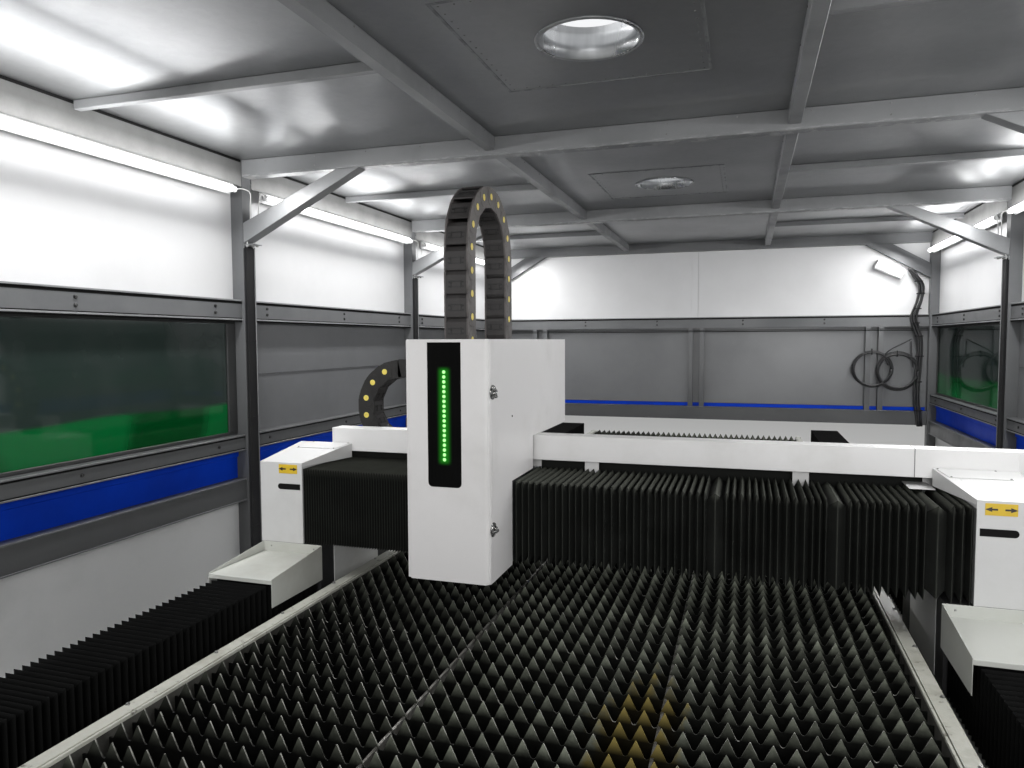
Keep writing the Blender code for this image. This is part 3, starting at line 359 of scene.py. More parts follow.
def grown(name, base, tree, values, body, smooth=False):
    """Run a geometry tree on a mesh with named values and keep the result as one plain piece."""
    host = bpy.data.objects.new(name + "_host", base)
    bpy.context.scene.collection.objects.link(host)
    modifier = host.modifiers.new("grow", "NODES")
    modifier.node_group = tree
    for item in tree.interface.items_tree:
        if item.item_type == "SOCKET" and item.in_out == "INPUT" and item.name in values:
            modifier[item.identifier] = values[item.name]
    host.update_tag()
    bpy.context.view_layer.update()
    mesh = bpy.data.meshes.new_from_object(host.evaluated_get(bpy.context.evaluated_depsgraph_get()))
    mesh.name = name
    bpy.data.objects.remove(host, do_unlink=True)
    if "turn" in mesh.attributes:
        mesh.attributes.remove(mesh.attributes["turn"])
    return linked(name, mesh, body, smooth)


def fitted(name, shape, places, material, body="machine", size=1.0, smooth=False):
    """One piece made of a small shape at many places; a place is a point and an Euler turn."""
    points = bpy.data.meshes.new(name + "_points")
    points.from_pydata([p for p, t in places], [], [])
    turns = points.attributes.new("turn", "FLOAT_VECTOR", "POINT")
    turns.data.foreach_set("vector", [c for p, t in places for c in t])
    return grown(name, points, PLACED, {"Shape": shape, "Size": size, "Finish": material}, body, smooth)


def shape_of(name, bm):
    """A small shape kept only while pieces are grown from it."""
    return linked(name, mesh_of(name, bm))


def turned(bm, outline, sides, x=0.0, y=0.0):
    """Revolve (radius, height) points about an upright line; a zero radius closes to a point, a full loop to a ring."""
    rows = []
    for r, z in outline:
        if rows and (r, z) == outline[0]:
            rows.append(rows[0])
            continue
        rows.append([bm.verts.new((x + r * cos(2 * pi * k / sides), y + r * sin(2 * pi * k / sides), z))
                     for k in range(sides if r else 1)])
    joined_rows(bm, rows, False)


def hex_bolt():
    """Washer and hexagon head of an M10 bolt, standing on Z."""
    bm = bmesh.new()
    turned(bm, [(0, -0.001), (0.011, -0.001), (0.011, 0.0016), (0.0095, 0.002), (0, 0.002)], 14)
    turned(bm, [(0, 0.001), (0.0088, 0.001), (0.0088, 0.0074), (0.0074, 0.0084), (0, 0.0084)], 6)
    return shape_of("hex_bolt", bm)


def pan_screw():
    """Low domed screw with a cross cut, standing on Z."""
    bm = bmesh.new()
    turned(bm, [(0, -0.0005), (0.0045, -0.0005), (0.0045, 0.0006), (0.0038, 0.0017), (0.0022, 0.0024), (0, 0.0026)],
           10)
    return shape_of("pan_screw", bm)


HEX_BOLT, PAN_SCREW = hex_bolt(), pan_screw()
# Euler turns that stand a fitting on a face that looks along the named axis.
FACING = {"+X": (0, pi / 2, 0), "-X": (0, -pi / 2, 0), "-Y": (pi / 2, 0, 0), "+Y": (-pi / 2, 0, 0),
          "+Z": (0, 0, 0), "-Z": (pi, 0, 0)}
bolt_zinc = finish("bolt_zinc", (0.30, 0.30, 0.29), (0.12, 0.12, 0.12), (60.0, 0.4, 0.7), (0.3, 0.5), 400.0, 0.3,
                   0.0001, 0.85)
black_screw = finish("black_screw", (0.020, 0.020, 0.020), (0.05, 0.05, 0.05), (90.0, 0.4, 0.7), (0.35, 0.5), 400.0,
                     0.3, 0.0001, 0.4)

# The near-black strips under the lips of the channel rails are painted shadow lines.
rail_lips, rail_shadow_strips = bmesh.new(), bmesh.new()
BAYS = tuple(zip(POST_LINES, POST_LINES[1:]))
for side in (-1, 1):
    face = side * RAIL_FACE
    for near, far in BAYS:
        near += 0.045 if near == POST_LINES[0] else 0.042
        far -= 0.045 if far == POST_LINES[3] else 0.042
        for low, high in ((2.036, 2.0445), (1.9255, 1.934), (1.2445, 1.2525), (1.1605, 1.168), (0.8605, 0.868),
                          (0.985, 0.9925)):
            bar(rail_lips, (face, near, low), (face - side * 0.007, far, high), 0.001)
        for low, high in ((2.0215, 2.0362), (1.9338, 1.9400), (1.9165, 1.9257), (1.2340, 1.2447), (1.1678, 1.1740)):
            bar(rail_shadow_strips, (face, near + 0.001, low), (face - side * 0.0016, far - 0.001, high), 0.0004)
for low, high in ((2.036, 2.0445), (1.072, 1.0795)):
    bar(rail_lips, (-2.255, 3.463, low), (2.255, REAR_FACE - 0.0001, high), 0.001)
for low, high in ((2.0210, 2.0362), (1.9008, 1.9060), (1.8850, 1.8932)):
    bar(rail_shadow_strips, (-2.254, 3.4674, low), (2.254, REAR_FACE - 0.0002, high), 0.0004)
piece_of("rail_lips", rail_lips, beam_paint)
# Near black for painted shade: the shadow lines under the rail lips and over the eaves bands, beside the slat seats and
# inside the cover slots.
shadow_black = finish("shadow_black", (0.006, 0.006, 0.006), (0.010, 0.010, 0.010), (5.0, 0.4, 0.7), (0.8, 0.9), 90.0,
                      0.2, 0.0001, gloss=0.1)
piece_of("rail_grooves", rail_shadow_strips, shadow_black)

places = []
for side, turn in ((-1, FACING["+X"]), (1, FACING["-X"])):
    for line in POST_LINES[:-1]:
        for step in BOLT_STEPS:
            places += [((side * (RAIL_FACE - 0.0002), line + step, z), turn) for z in (2.001, 1.964, 1.207)]
for x in (-1.2, -0.4, 0.5, 1.3):
    places += [((x, REAR_FACE, z), FACING["-Y"]) for z in (2.005, 1.965)]
fitted("rail_bolts", HEX_BOLT, places, black_screw, size=0.9)


# Roof beams. Rectangular tubes welded between the posts: two deep cross beams, two slim
# long beams with short purlins out to the walls; the roof sheets are screwed onto them.
BEAM_TOP, LONG_BEAM_X = 2.8498, 0.735
beams = bmesh.new()
lo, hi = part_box("roof_frame")
for line in POST_LINES[1:3]:
    bar(beams, (-2.2796, line - 0.036, 2.7541), (2.2796, line + 0.036, BEAM_TOP), 0.002)
for side in (-1, 1):
    x = side * LONG_BEAM_X
    bar(beams, (x - 0.027, lo.y, 2.7800), (x + 0.027, hi.y, BEAM_TOP), 0.002)
    for near, far in BAYS:
        middle = (near + far) / 2
        bar(beams, (side * 0.750, middle - 0.018, 2.8120), (side * 2.2588, middle + 0.018, BEAM_TOP), 0.002)
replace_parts(piece_of("roof_beams", beams, beam_paint), "roof_frame")


# Knee braces. Square tubes cut to a slant at both ends and welded between the middle
# posts and the deep cross beams, in the same paint as the beams.
for place, line in (("near", POST_LINES[1]), ("far", POST_LINES[2])):
    for side, label in ((-1, "left"), (1, "right")):
        brace = bmesh.new()
        outline = ((POST_FACE, 2.372), (1.492, 2.7535), (1.642, 2.7535), (POST_FACE, 2.490))
        profile_along(brace, [(side * x, z) for x, z in outline], line - 0.0395, line + 0.0395)
        piece = piece_of(f"brace_{place}_{label}", brace, beam_paint)
        soften(piece, 0.004)
        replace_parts(piece, f"knee_brace_{place}_{label}")


# Post strips. Black cable ducts clipped on the inner faces of the middle posts; a zinc
# clamp with bolts holds the foot of each knee brace, and zinc bands close the eaves,
# brightest just above the lamps and darker towards the roof as painted light and shade.
duct_plastic = finish("duct_plastic", (0.009, 0.009, 0.010), (0.014, 0.014, 0.014), (6.0, 0.4, 0.7), (0.65, 0.8),
                      200.0, 0.2, 0.0003, gloss=0.15)
ducts, flanges, clamps, places = bmesh.new(), bmesh.new(), bmesh.new(), []
DUCT_FOOT, DUCT_HEAD = 0.05, 2.355
for side in (-1, 1):
    for line in POST_LINES[1:3]:
        face = side * POST_FACE
        bar(ducts, (face, line - 0.036, DUCT_FOOT), (face - side * 0.017, line + 0.036, DUCT_HEAD), 0.003)
        bar(flanges, (face, line + 0.0362, DUCT_FOOT), (face - side * 0.021, line + 0.0398, DUCT_HEAD), 0.0006)
        for z in (0.7, 1.35, 1.80):
            bar(ducts, (face, line - 0.0372, z), (face - side * 0.0185, line + 0.036, z + 0.008), 0.001)
        bar(clamps, (face, line - 0.034, 2.362), (face - side * 0.075, line + 0.034, 2.369), 0.001)
        bar(clamps, (face, line - 0.040, 2.345), (face - side * 0.006, line + 0.040, 2.372), 0.001)
        for shift in (0.022, 0.052):
            places += [((face - side * shift, line + y, 2.362), FACING["-Z"]) for y in (-0.02, 0.02)]
piece_of("post_ducts", ducts, duct_plastic)
piece_of("post_flanges", flanges, beam_paint)
galvanised_strip = finish("galvanised_strip", (0.33, 0.34, 0.34), (0.22, 0.225, 0.23), (14.0, 0.4, 0.6), (0.3, 0.45),
                          160.0, 0.2, 0.0002, 0.7)
piece_of("brace_clamps", clamps, galvanised_strip)
# The black strips along the tops of the bands are a painted shadow line under the roof.
bands, shadows = bmesh.new(), bmesh.new()
for side in (-1, 1):
    for near, far in BAYS:
        bar(bands, (side * 2.2599, near + 0.046, 2.697), (side * 2.2584, far - 0.046, 2.8340), 0.0005)
        bar(shadows, (side * 2.2599, near + 0.046, 2.8345), (side * 2.2584, far - 0.046, 2.8488))
# The bands are brightest just above the lamps and darker towards the roof: painted light and shade.
band_zinc = shaded_by_height(finish("band_zinc", (0.27, 0.27, 0.265), (0.21, 0.21, 0.205), (4.0, 0.30, 0.75),
                                    (0.45, 0.55), 90.0, 0.12, 0.0002), 2.700, 2.790, 1.0, 0.42)
piece_of("eaves_bands", bands, band_zinc)
piece_of("eaves_gaps", shadows, shadow_black)
fitted("clamp_bolts", HEX_BOLT, places, bolt_zinc, size=0.9)


# Wall panels. White coated sheets above, dark grey sheets in the middle, a blue coated
# band below the sill, and light sheets at the bottom, all screwed outside the frame.
white_panel = finish("white_panel", (0.62, 0.62, 0.625), (0.57, 0.57, 0.575), (0.9, 0.40, 0.75), (0.32, 0.42), 70.0,
                     0.03, 0.00012)
# The light bottom sheets grow darker towards the floor: painted shade.
pale_panel = shaded_by_height(finish("pale_panel", (0.58, 0.585, 0.585), (0.48, 0.485, 0.48), (1.3, 0.45, 0.75),
                                     (0.35, 0.5), 70.0, 0.04, 0.00015), 0.1, 0.9, 0.60, 0.80)
grey_panel = finish("grey_panel", (0.135, 0.138, 0.142), (0.105, 0.108, 0.112), (0.8, 0.35, 0.75), (0.30, 0.42), 90.0,
                    0.06, 0.00015)
blue_coat = finish("blue_coat", (0.002, 0.038, 0.430), (0.0015, 0.026, 0.310), (1.4, 0.42, 0.75), (0.38, 0.5), 80.0,
                   0.05, 0.0001, gloss=0.07)


def outer_joints(material, along, first, step, across, face):
    """Darken a material in thin lines along an axis, only where the other axis lies past the outer face."""
    tree, into, colour, spot = inside(material)
    place = apart(tree, spot)
    near = maths(tree, "PINGPONG", maths(tree, "SUBTRACT", place[along], first), step / 2)
    outside = maths(tree, "GREATER_THAN", maths(tree, "ABSOLUTE", place[across]), face)
    both = maths(tree, "MULTIPLY", maths(tree, "LESS_THAN", near, 0.004), outside)
    factor = maths(tree, "MULTIPLY_ADD", both, -0.65, 1.0)
    tree.links.new(scaled(tree, colour, factor), into["Base Color"])


for material in (white_panel, pale_panel, grey_panel, blue_coat):
    outer_joints(material, "Y", POST_LINES[0], 1.135, "X", 2.3690)
    outer_joints(material, "X", 0.0, 1.14, "Y", 3.5590)
dress(white_panel, "upper_panel_left", "upper_panel_right", "upper_panel_rear")
dress(pale_panel, "lower_panel_left", "lower_panel_right")
dress(grey_panel, "grey_panel_left", "grey_panel_right", "grey_panel_rear")
dress(blue_coat, "blue_band_left", "blue_band_right", "blue_band_rear")

seams, cover_strip, folds, ledge, panel_seams = (bmesh.new() for number in range(5))
PANEL_FACE, REAR_PANEL_FACE = 2.3402, 3.5298
for side, near, far in ((-1, -1.005, 3.44), (1, -3.27, 1.17)):
    inner = side * PANEL_FACE
    bar(folds, (inner, -3.27, 1.118), (inner - side * 0.010, 3.44, 1.1595), 0.002)
    bar(panel_seams, (inner, near, 1.600), (inner - side * 0.006, far, 1.603))
bar(seams, (0.0302, 3.5262, 2.046), (0.0335, 3.5302, 2.749))
bar(cover_strip, (-0.035, 3.5255, 2.046), (0.030, 3.5300, 2.749), 0.001)
bar(folds, (-2.25, 3.512, 1.081), (2.25, REAR_PANEL_FACE, 1.118), 0.002)
bar(ledge, (-2.25, 3.508, 1.1182), (2.25, REAR_PANEL_FACE, 1.126), 0.001)
piece_of("panel_joints", seams, finish("joint_grey", (0.42, 0.42, 0.42), (0.34, 0.34, 0.34)))
piece_of("panel_cover_strip", cover_strip, white_panel)
piece_of("blue_band_folds", folds, blue_coat)
piece_of("rear_ledge", ledge, beam_paint)
piece_of("grey_panel_seams", panel_seams, finish("seam_shade", (0.060, 0.062, 0.064), (0.045, 0.045, 0.048)))


# Laser safety windows. Tinted green acrylic sheets in the first left bay and the last
# right bay, held by dark rubber gaskets pressed round their edges. Their lower part is
# painted bright green as light seen through them, and the right sheet is a darker copy: painted shade.
def green_window(name, deep, thin, clear):
    """Green tint that is deep above, with painted light in bright green towards the sill."""
    material = finish(name, deep, thin, (0.7, 0.40, 0.62), (0.04, 0.06), 30.0, 0.02, 0.00002)
    tree, into, colour, spot = inside(material)
    edge = maths(tree, "MULTIPLY_ADD", noise(tree, spot, 0.8, 1.0), 0.16, apart(tree, spot)["Z"])
    # Painted light: bright green towards the sill, standing in for the lit floor outside.
    low = remap(tree, edge, 1.55, 1.515, kind="SMOOTHSTEP")
    tint = remap(tree, noise(tree, spot, 1.9, 0.0), 0.42, 0.58)
    painted_light_green = mixed(tree, tint, (0.0006, 0.060, 0.012, 1), (0.003, 0.135, 0.032, 1))
    tree.links.new(mixed(tree, low, colour, painted_light_green), into["Base Color"])
    into["Transmission Weight"].default_value = clear
    into["IOR"].default_value = 1.49
    into["Specular IOR Level"].default_value = 0.30
    return material


dress(green_window("green_window_left", (0.058, 0.068, 0.065), (0.026, 0.040, 0.035), 0.30), "window_left")
# The right sheet is a darker copy of the same acrylic: painted shade.
dress(green_window("green_window_right", (0.012, 0.021, 0.018), (0.007, 0.014, 0.011), 0.12), "window_right")
gasket_rubber = finish("gasket_rubber", (0.018, 0.019, 0.019), (0.03, 0.03, 0.03), (5.0, 0.4, 0.7), (0.5, 0.65), 200.0,
                       0.2, 0.0003)
gaskets = bmesh.new()
for side, near, far in ((-1, -3.27, -1.092), (1, 1.262, 3.445)):
    face, proud = side * PANEL_FACE, side * (PANEL_FACE - 0.012)
    for low, high in ((1.2532, 1.272), (1.906, 1.9248)):
        bar(gaskets, (face, near, low), (proud, far, high), 0.003)
    for low, high in ((near, near + 0.02), (far - 0.075 if side < 0 else far - 0.02, far)):
        bar(gaskets, (face, low, 1.270), (proud, high, 1.908), 0.003)
piece_of("window_gaskets", gaskets, gasket_rubber)


# Roof sheets. Galvanised steel sheets screwed over the roof frame, with two riveted
# patch plates, each round a flanged exhaust duct of plain rolled sheet.
ROOF_UNDER = 2.8502
DUCT_RADIUS, DUCT_PLACES = 0.175, (-2.13, 0.35)


zinc = finish("zinc_sheet", (0.38, 0.385, 0.39), (0.28, 0.285, 0.29), (0.9, 0.30, 0.80), (0.33, 0.38), 120.0, 0.06,
              0.00001, 0.90)
tree, into, colour, spot = inside(zinc)
cells = joined(tree, "ShaderNodeTexVoronoi", Vector=spot, Scale=34.0)
spangle = remap(tree, joined(tree, "ShaderNodeRGBToBW", _0=cells.outputs["Color"]).outputs[0], 0.0, 1.0, 0.965, 1.03)
tree.links.new(scaled(tree, colour, spangle), into["Base Color"])
dress(zinc, "roof_sheet")
plates, duct_liners, places = bmesh.new(), bmesh.new(), []
PLATE_LEFT, PLATE_RIGHT, PLATE_RIM, RIVET_IN = -0.43, 0.40, 0.012, 0.03
for y, half in zip(DUCT_PLACES, (0.43, 0.435)):
    near, far = y - half, y + half
    for a, b in (((PLATE_LEFT, near), (PLATE_RIGHT, near + PLATE_RIM)),
                 ((PLATE_LEFT, far - PLATE_RIM), (PLATE_RIGHT, far)),
                 ((PLATE_LEFT, near), (PLATE_LEFT + PLATE_RIM, far)),
                 ((PLATE_RIGHT - PLATE_RIM, near), (PLATE_RIGHT, far))):
        bar(plates, (*a, ROOF_UNDER - 0.0025), (*b, ROOF_UNDER), 0.0006)
    low_x, high_x, low_y, high_y = PLATE_LEFT + RIVET_IN, PLATE_RIGHT - RIVET_IN, near + RIVET_IN, far - RIVET_IN
    for k in range(15):
        x, q = low_x + k / 14 * (high_x - low_x), low_y + k / 14 * (high_y - low_y)
        places += [((*at, ROOF_UNDER), FACING["-Z"]) for at in ((x, low_y), (x, high_y), (low_x, q), (high_x, q))]
    turned(duct_liners, [(DUCT_RADIUS + r, z) for r, z in (
        (-0.0005, 2.964), (-0.003, 2.964), (-0.003, 2.847), (0.002, 2.8455), (0.016, 2.8462), (0.017, 2.8500),
        (-0.0005, 2.8500), (-0.0005, 2.964))], 48, y=y)
bright_zinc = finish("bright_zinc", (0.52, 0.53, 0.54), (0.38, 0.39, 0.40), (5.0, 0.4, 0.65), (0.24, 0.36), 60.0, 0.12,
                     0.00008, 0.85, stretch=(1, 1, 0.15))
piece_of("duct_liners", duct_liners, bright_zinc, smooth=True)
piece_of("roof_patch_edges", plates, galvanised_strip)
fitted("roof_patch_rivets", PAN_SCREW, places, bolt_zinc, size=0.8)

laps, places, LAP_UNDER = bmesh.new(), [], 2.8795
for y, inner in ((-2.185, 0.26), (-1.05, 0.0), (0.085, 0.0), (1.22, 0.0), (2.355, 0.0)):
    for side in (-1, 1):
        bar(laps, (side * inner, y - 0.020, LAP_UNDER), (side * 2.33, y + 0.020, 2.8816))
        places += [((side * (inner + 0.10 + 0.24 * k), y, 2.8816), FACING["+Z"]) for k in range(9)]
for side in (-1, 1):
    bar(laps, (side * 2.3300, -3.30, LAP_UNDER), (side * 2.3695, 3.5590, 2.8826))
    places += [((side * 2.350, -3.20 + 0.40 * k, 2.8826), FACING["+Z"]) for k in range(17)]
piece_of("roof_laps", laps, galvanised_strip)
fitted("roof_lap_screws", PAN_SCREW, places, bolt_zinc, size=1.6)

places = []
for side in (-1, 1):
    for line in POST_LINES[:-1]:
        places += [((side * LONG_BEAM_X + shift, line + 0.18 + k * 0.315, 2.838), FACING[way])
                   for k in range(7) for shift, way in ((-0.0272, "-X"), (0.0272, "+X"))]
for line in POST_LINES[1:3]:
    for k in range(14):
        x = -2.1 + k * 0.323
        places += [((x, line - 0.0362, 2.835), FACING["-Y"]), ((x, line + 0.0362, 2.835), FACING["+Y"])]
        if k % 3 == 1:
            places.append(((x, line - 0.0362, 2.785), FACING["-Y"]))
fitted("roof_screws", PAN_SCREW, places, bolt_zinc, size=0.9)


# Lamps. Each bay has a strip lamp on both sides: a white folded housing with an opal
# tube, end caps, and a short white lead tied down into the post strip.
LAMP_SPANS = ((-3.195, -1.20), (-0.93, 1.09), (1.36, 3.365))
LAMP_TOP = 2.6935
def lit(name, base, glow, strength):
    """A material that glows by itself; glow is made from its tree."""
    material = bpy.data.materials.new(name)
    material.use_nodes = True
    into = material.node_tree.nodes["Principled BSDF"].inputs
    into["Base Color"].default_value = base
    into["Emission Strength"].default_value = strength
    material.node_tree.links.new(glow(material.node_tree), into["Emission Color"])
    return material


def opal_glow(tree):
    """White light, a little uneven along the tube."""
    mottle = noise(tree, joined(tree, "ShaderNodeTexCoord").outputs["Object"], 3.0)
    return mixed(tree, mottle, (0.93, 0.96, 1.0, 1), (1.0, 1.0, 1.0, 1))


def rim(radius, sides, x, z, first=0.0, sweep=2 * pi):
    """Points on a circle, or on a part of it when the sweep is less."""
    return [(x + radius * cos(first + sweep * k / sides), z + radius * sin(first + sweep * k / sides))
            for k in range(sides)]


opal = lit("opal_tube", (0.9, 0.9, 0.9, 1), opal_glow, 11.0)
opal.node_tree.nodes["Principled BSDF"].inputs["Roughness"].default_value = 0.3
lamp_white = finish("lamp_white", (0.72, 0.72, 0.72), (0.62, 0.62, 0.62), (4.0, 0.4, 0.7), (0.35, 0.5), 100.0, 0.04,
                    0.0001)
for side, label in ((-1, "left"), (1, "right")):
    housing, tube = bmesh.new(), bmesh.new()
    wall = side * 2.2596
    outline = [(wall - side * out, LAMP_TOP - drop) for out, drop in
               ((0.0, 0.0), (0.020, 0.0), (0.034, 0.012), (0.020, 0.045), (0.0, 0.058))]
    centre = wall - side * 0.036, LAMP_TOP - 0.034
    for near, far in LAMP_SPANS:
        profile_along(housing, outline, near, far)
        profile_along(tube, rim(0.0175, 14, *centre), near + 0.03, far - 0.03)
        for y in (near, far - 0.03):
            profile_along(housing, rim(0.0190, 14, *centre), y, y + 0.03)
    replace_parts(piece_of("lamp_housings_" + label, housing, lamp_white), "light_batten_" + label)
    piece_of("lamp_tubes_" + label, tube, opal)
    for part, x, z, tilt, power in (("down", 2.00, 2.64, 28, 14.6), ("up", 2.08, 2.62, 205, 3.8)):
        for near, far in LAMP_SPANS:
            data = bpy.data.lights.new(f"strip_light_{part}_{label}", "AREA")
            data.shape, data.size, data.size_y, data.energy = "RECTANGLE", 0.10, far - near, power * (far - near)
            strip = bpy.data.objects.new(f"strip_light_{part}_{label}", data)
            strip.matrix_world = (Matrix.Translation((side * x, (near + far) / 2, z))
                                  @ Matrix.Rotation(side * radians(tilt), 4, "Y"))
            strip.visible_camera = False
            bpy.context.scene.collection.objects.link(strip)


def tube_along(bm, points, radius, sides=8):
    """A capped round tube along a smooth path through the points."""
    path = [Vector(p) for p in points]
    rows = []
    side = None
    for i, point in enumerate(path):
        along = (path[min(i + 1, len(path) - 1)] - path[max(i - 1, 0)]).normalized()
        if side is None:
            side = along.orthogonal().normalized()
        side = (side - along * side.dot(along)).normalized()
        other = along.cross(side)
        rows.append([bm.verts.new(point + u * side + v * other) for u, v in rim(radius, sides, 0.0, 0.0)])
    joined_rows(bm, rows)


def smoothed(points, steps=6):
    """Points along a Catmull-Rom curve through the given ones."""
    path = [Vector(p) for p in points]
    ends = [2 * path[0] - path[1]] + path + [2 * path[-1] - path[-2]]
    out = []
    for a, b, c, d in zip(ends, ends[1:], ends[2:], ends[3:]):
        for k in range(steps):
            t = k / steps
            out.append(0.5 * (2 * b + (c - a) * t + (2 * a - 5 * b + 4 * c - d) * t * t
                              + (3 * b - a - 3 * c + d) * t ** 3))
    return out + [path[-1]]


leads = bmesh.new()
for side in (-1, 1):
    for line in POST_LINES[1:3]:
        x = side * 2.2
        for way, start in ((-1, line - 0.149), (1, line + 0.12 if line < 0 else line + 0.14)):
            near = way * 0.045
            route = [(side * 2.224, start, 2.660), (side * 2.216, line + way * 0.09, 2.672), (x, line + near, 2.655),
                     (x + side * 0.006, line + near * 0.85, 2.58), (x + side * 0.012, line + near * 0.75, 2.49),
                     (side * 2.235, line + way * 0.0295, 2.41), (side * 2.243, line + way * 0.0290, 2.35)]
            tube_along(leads, smoothed(route), 0.0032, 7)
piece_of("lamp_leads", leads, finish("lead_white", (0.70, 0.70, 0.69), (0.6, 0.6, 0.58)),
         smooth=True)


# Rear wiring. Six black cables strapped together down the far right corner, and two
# spare coils hung on the wall rail beside them with ties.
LOOM_Y, LOOM_X, COILS = 3.4457, 2.10, ((1.985, 1.48), (1.755, 1.50))
LOOM_LINE = ((-0.03, 2.50), (0.03, 2.42), (0.075, 2.32), (0.070, 2.18), (0.020, 2.02), (0.050, 1.90), (0.085, 1.76),
             (0.070, 1.50), (0.065, 1.25), (0.095, 0.93))
cord_black = finish("cord_black", (0.012, 0.012, 0.013), (0.030, 0.030, 0.030), (25.0, 0.45, 0.75), (0.40, 0.55),
                    300.0, 0.2, 0.0002)
loom = bmesh.new()
random.seed(7)
for number in range(6):
    angle = number * pi / 3 + 0.4
    dx, dy = (0.0230 * cos(angle), 0.0118 * sin(angle)) if number < 5 else (0.0, 0.0)
    route = [(LOOM_X + x + dx + random.uniform(-0.009, 0.009), LOOM_Y + dy, z) for x, z in LOOM_LINE]
    tube_along(loom, smoothed(route, 5), 0.0098, 7)
for cx, cz in COILS:
    for turn in range(4):
        reach = 0.172 + 0.009 * (turn % 2) + random.uniform(-0.012, 0.012)
        squeeze = random.uniform(0.90, 1.05) * 0.98
        points = [(cx + u, LOOM_Y - 0.014 + 0.009 * turn, cz + v * squeeze) for u, v in rim(reach, 40, 0.0, 0.0, turn)]
        tube_along(loom, points + points[:1], 0.0085, 6)
    tube_along(loom, smoothed([(cx + 0.14, LOOM_Y, cz + 0.04), (cx + 0.12, LOOM_Y - 0.01, cz + 0.16),
                               (LOOM_X, LOOM_Y, cz + 0.30)], 8), 0.0068, 6)
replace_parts(piece_of("rear_cables", loom, cord_black, smooth=True), "rear_cable_loom")
ties = bmesh.new()
for (xa, za), (xb, zb) in zip(LOOM_LINE[1:], LOOM_LINE[2:]):
    x, z = LOOM_X + (xa + xb) / 2, (za + zb) / 2
    bar(ties, (x - 0.0345, LOOM_Y - 0.0238, z - 0.005), (x + 0.0345, LOOM_Y + 0.0236, z + 0.005), 0.002)
for cx, cz in COILS:
    bar(ties, (cx - 0.012, LOOM_Y - 0.026, cz + 0.145), (cx - 0.004, LOOM_Y + 0.023, cz + 0.205), 0.002)
piece_of("cable_ties", ties, duct_plastic)
box = bmesh.new()
turn = Matrix.Translation((1.893, 3.48, 2.500)) @ Matrix.Rotation(radians(26), 4, "Y")
bar(box, (-0.135, -0.028, -0.048), (0.135, 0.0498, 0.048), 0.004, turn)
bar(box, (-0.120, -0.034, -0.036), (0.120, -0.027, 0.036), 0.003, turn)
piece_of("rear_junction_box", box, lamp_white)


# Bed. Heavy welded box beams under the covers, sprayed off white, on levelling feet,
# with an open sheet tray between them that catches the scrap.
bed_paint = finish("bed_paint", (0.58, 0.585, 0.57), (0.47, 0.47, 0.45), (1.8, 0.42, 0.72), (0.38, 0.55), 110.0, 0.06,
                   0.0003)
tray_steel = finish("tray_steel", (0.014, 0.013, 0.012), (0.030, 0.024, 0.018), (3.5, 0.48, 0.72), (0.55, 0.75), 60.0,
                    0.35, 0.0008, 0.2)
dress(bed_paint, "bed_frame")
dress(tray_steel, "scrap_tray")
pads = bmesh.new()
lo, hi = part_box("bed_frame")
for side in (-1, 1):
    for k in range(5):
        turned(pads, [(0, 0.0005), (0.060, 0.0005), (0.060, 0.010), (0.050, 0.016), (0.018, 0.018), (0, 0.018)], 24,
               side * 1.30, lo.y + 0.2 + k * (hi.y - lo.y - 0.4) / 4)
piece_of("levelling_pads", pads, finish("pad_steel", (0.10, 0.10, 0.10), (0.05, 0.05, 0.05), (8.0, 0.4, 0.7)))


# Pallet. Cream steel side rails with the slat seats between the slats, cross bearers
# underneath, and hexagon bolts let into the top of each rail.
cream_paint = finish("cream_paint", (0.43, 0.43, 0.38), (0.30, 0.295, 0.25), (5.0, 0.46, 0.66), (0.38, 0.6), 130.0,
                     0.14, 0.0003)
tree, into, colour, spot = inside(cream_paint)
specks = remap(tree, noise(tree, spot, 22.0, 6.0, 0.7), 0.60, 0.68)
tree.links.new(mixed(tree, specks, colour, (0.10, 0.095, 0.075, 1)), into["Base Color"])
dress(cream_paint, "pallet_frame")
PALLET_FRONT, PALLET_REAR, RAIL_HIGH = -3.50, 3.33, 0.80
places = [((side * 1.0755, -3.166 + 0.355 * k, RAIL_HIGH - 0.0002), (0, 0, 0.3 * k))
          for side in (-1, 1) for k in range(19)]
fitted("rail_top_bolts", HEX_BOLT, places, bolt_zinc, "pallet", size=0.62)


# Slats. Eighty seven laser cut steel strips stand on edge across the pallet, each a row of
# pointed teeth, burnt dark by the beam, over two long support bars; loose in their seats.
# Their valleys and the left end of the pallet are darkened as painted shade, and the cut
# flanks near the tips carry a painted highlight.
SLAT_STEP, SLAT_FIRST, SLAT_COUNT = 0.0776, -3.4275, 87
SLAT_HALF, SLAT_TOP, SLAT_LOW = 1.037, 0.8150, 0.6607
TOOTH_STEP, TEETH, TOOTH_TIP, VALLEY_LOW, VALLEY_RADIUS = 0.0535, 38, 0.0010, 0.7715, 0.007


def slat_shape():
    """One slat standing on Y = 0: straight sided teeth with rounded valleys."""
    start = -TEETH * TOOTH_STEP / 2
    centre = VALLEY_LOW + VALLEY_RADIUS
    top = []
    for k in range(TEETH):
        middle = start + (k + 0.5) * TOOTH_STEP
        if k:
            valley = start + k * TOOTH_STEP
            for turn in (-64, -32, 0, 32, 64):
                a = radians(turn)
                top.append((valley + VALLEY_RADIUS * sin(a), centre - VALLEY_RADIUS * cos(a)))
        top += [(middle - TOOTH_TIP, SLAT_TOP), (middle + TOOTH_TIP, SLAT_TOP)]
    points = [(-SLAT_HALF, SLAT_LOW), (-SLAT_HALF, VALLEY_LOW), (start, VALLEY_LOW)] + top
    points += [(-start, VALLEY_LOW), (SLAT_HALF, VALLEY_LOW), (SLAT_HALF, SLAT_LOW)]
    bm = bmesh.new()
    profile_along(bm, points, -0.002, 0.002)
    cut = bm.faces.layers.float.new("cut_edge")
    for face in bm.faces:
        face[cut] = 1.0 if len(face.verts) == 4 else 0.0
    return shape_of("slat", bm)


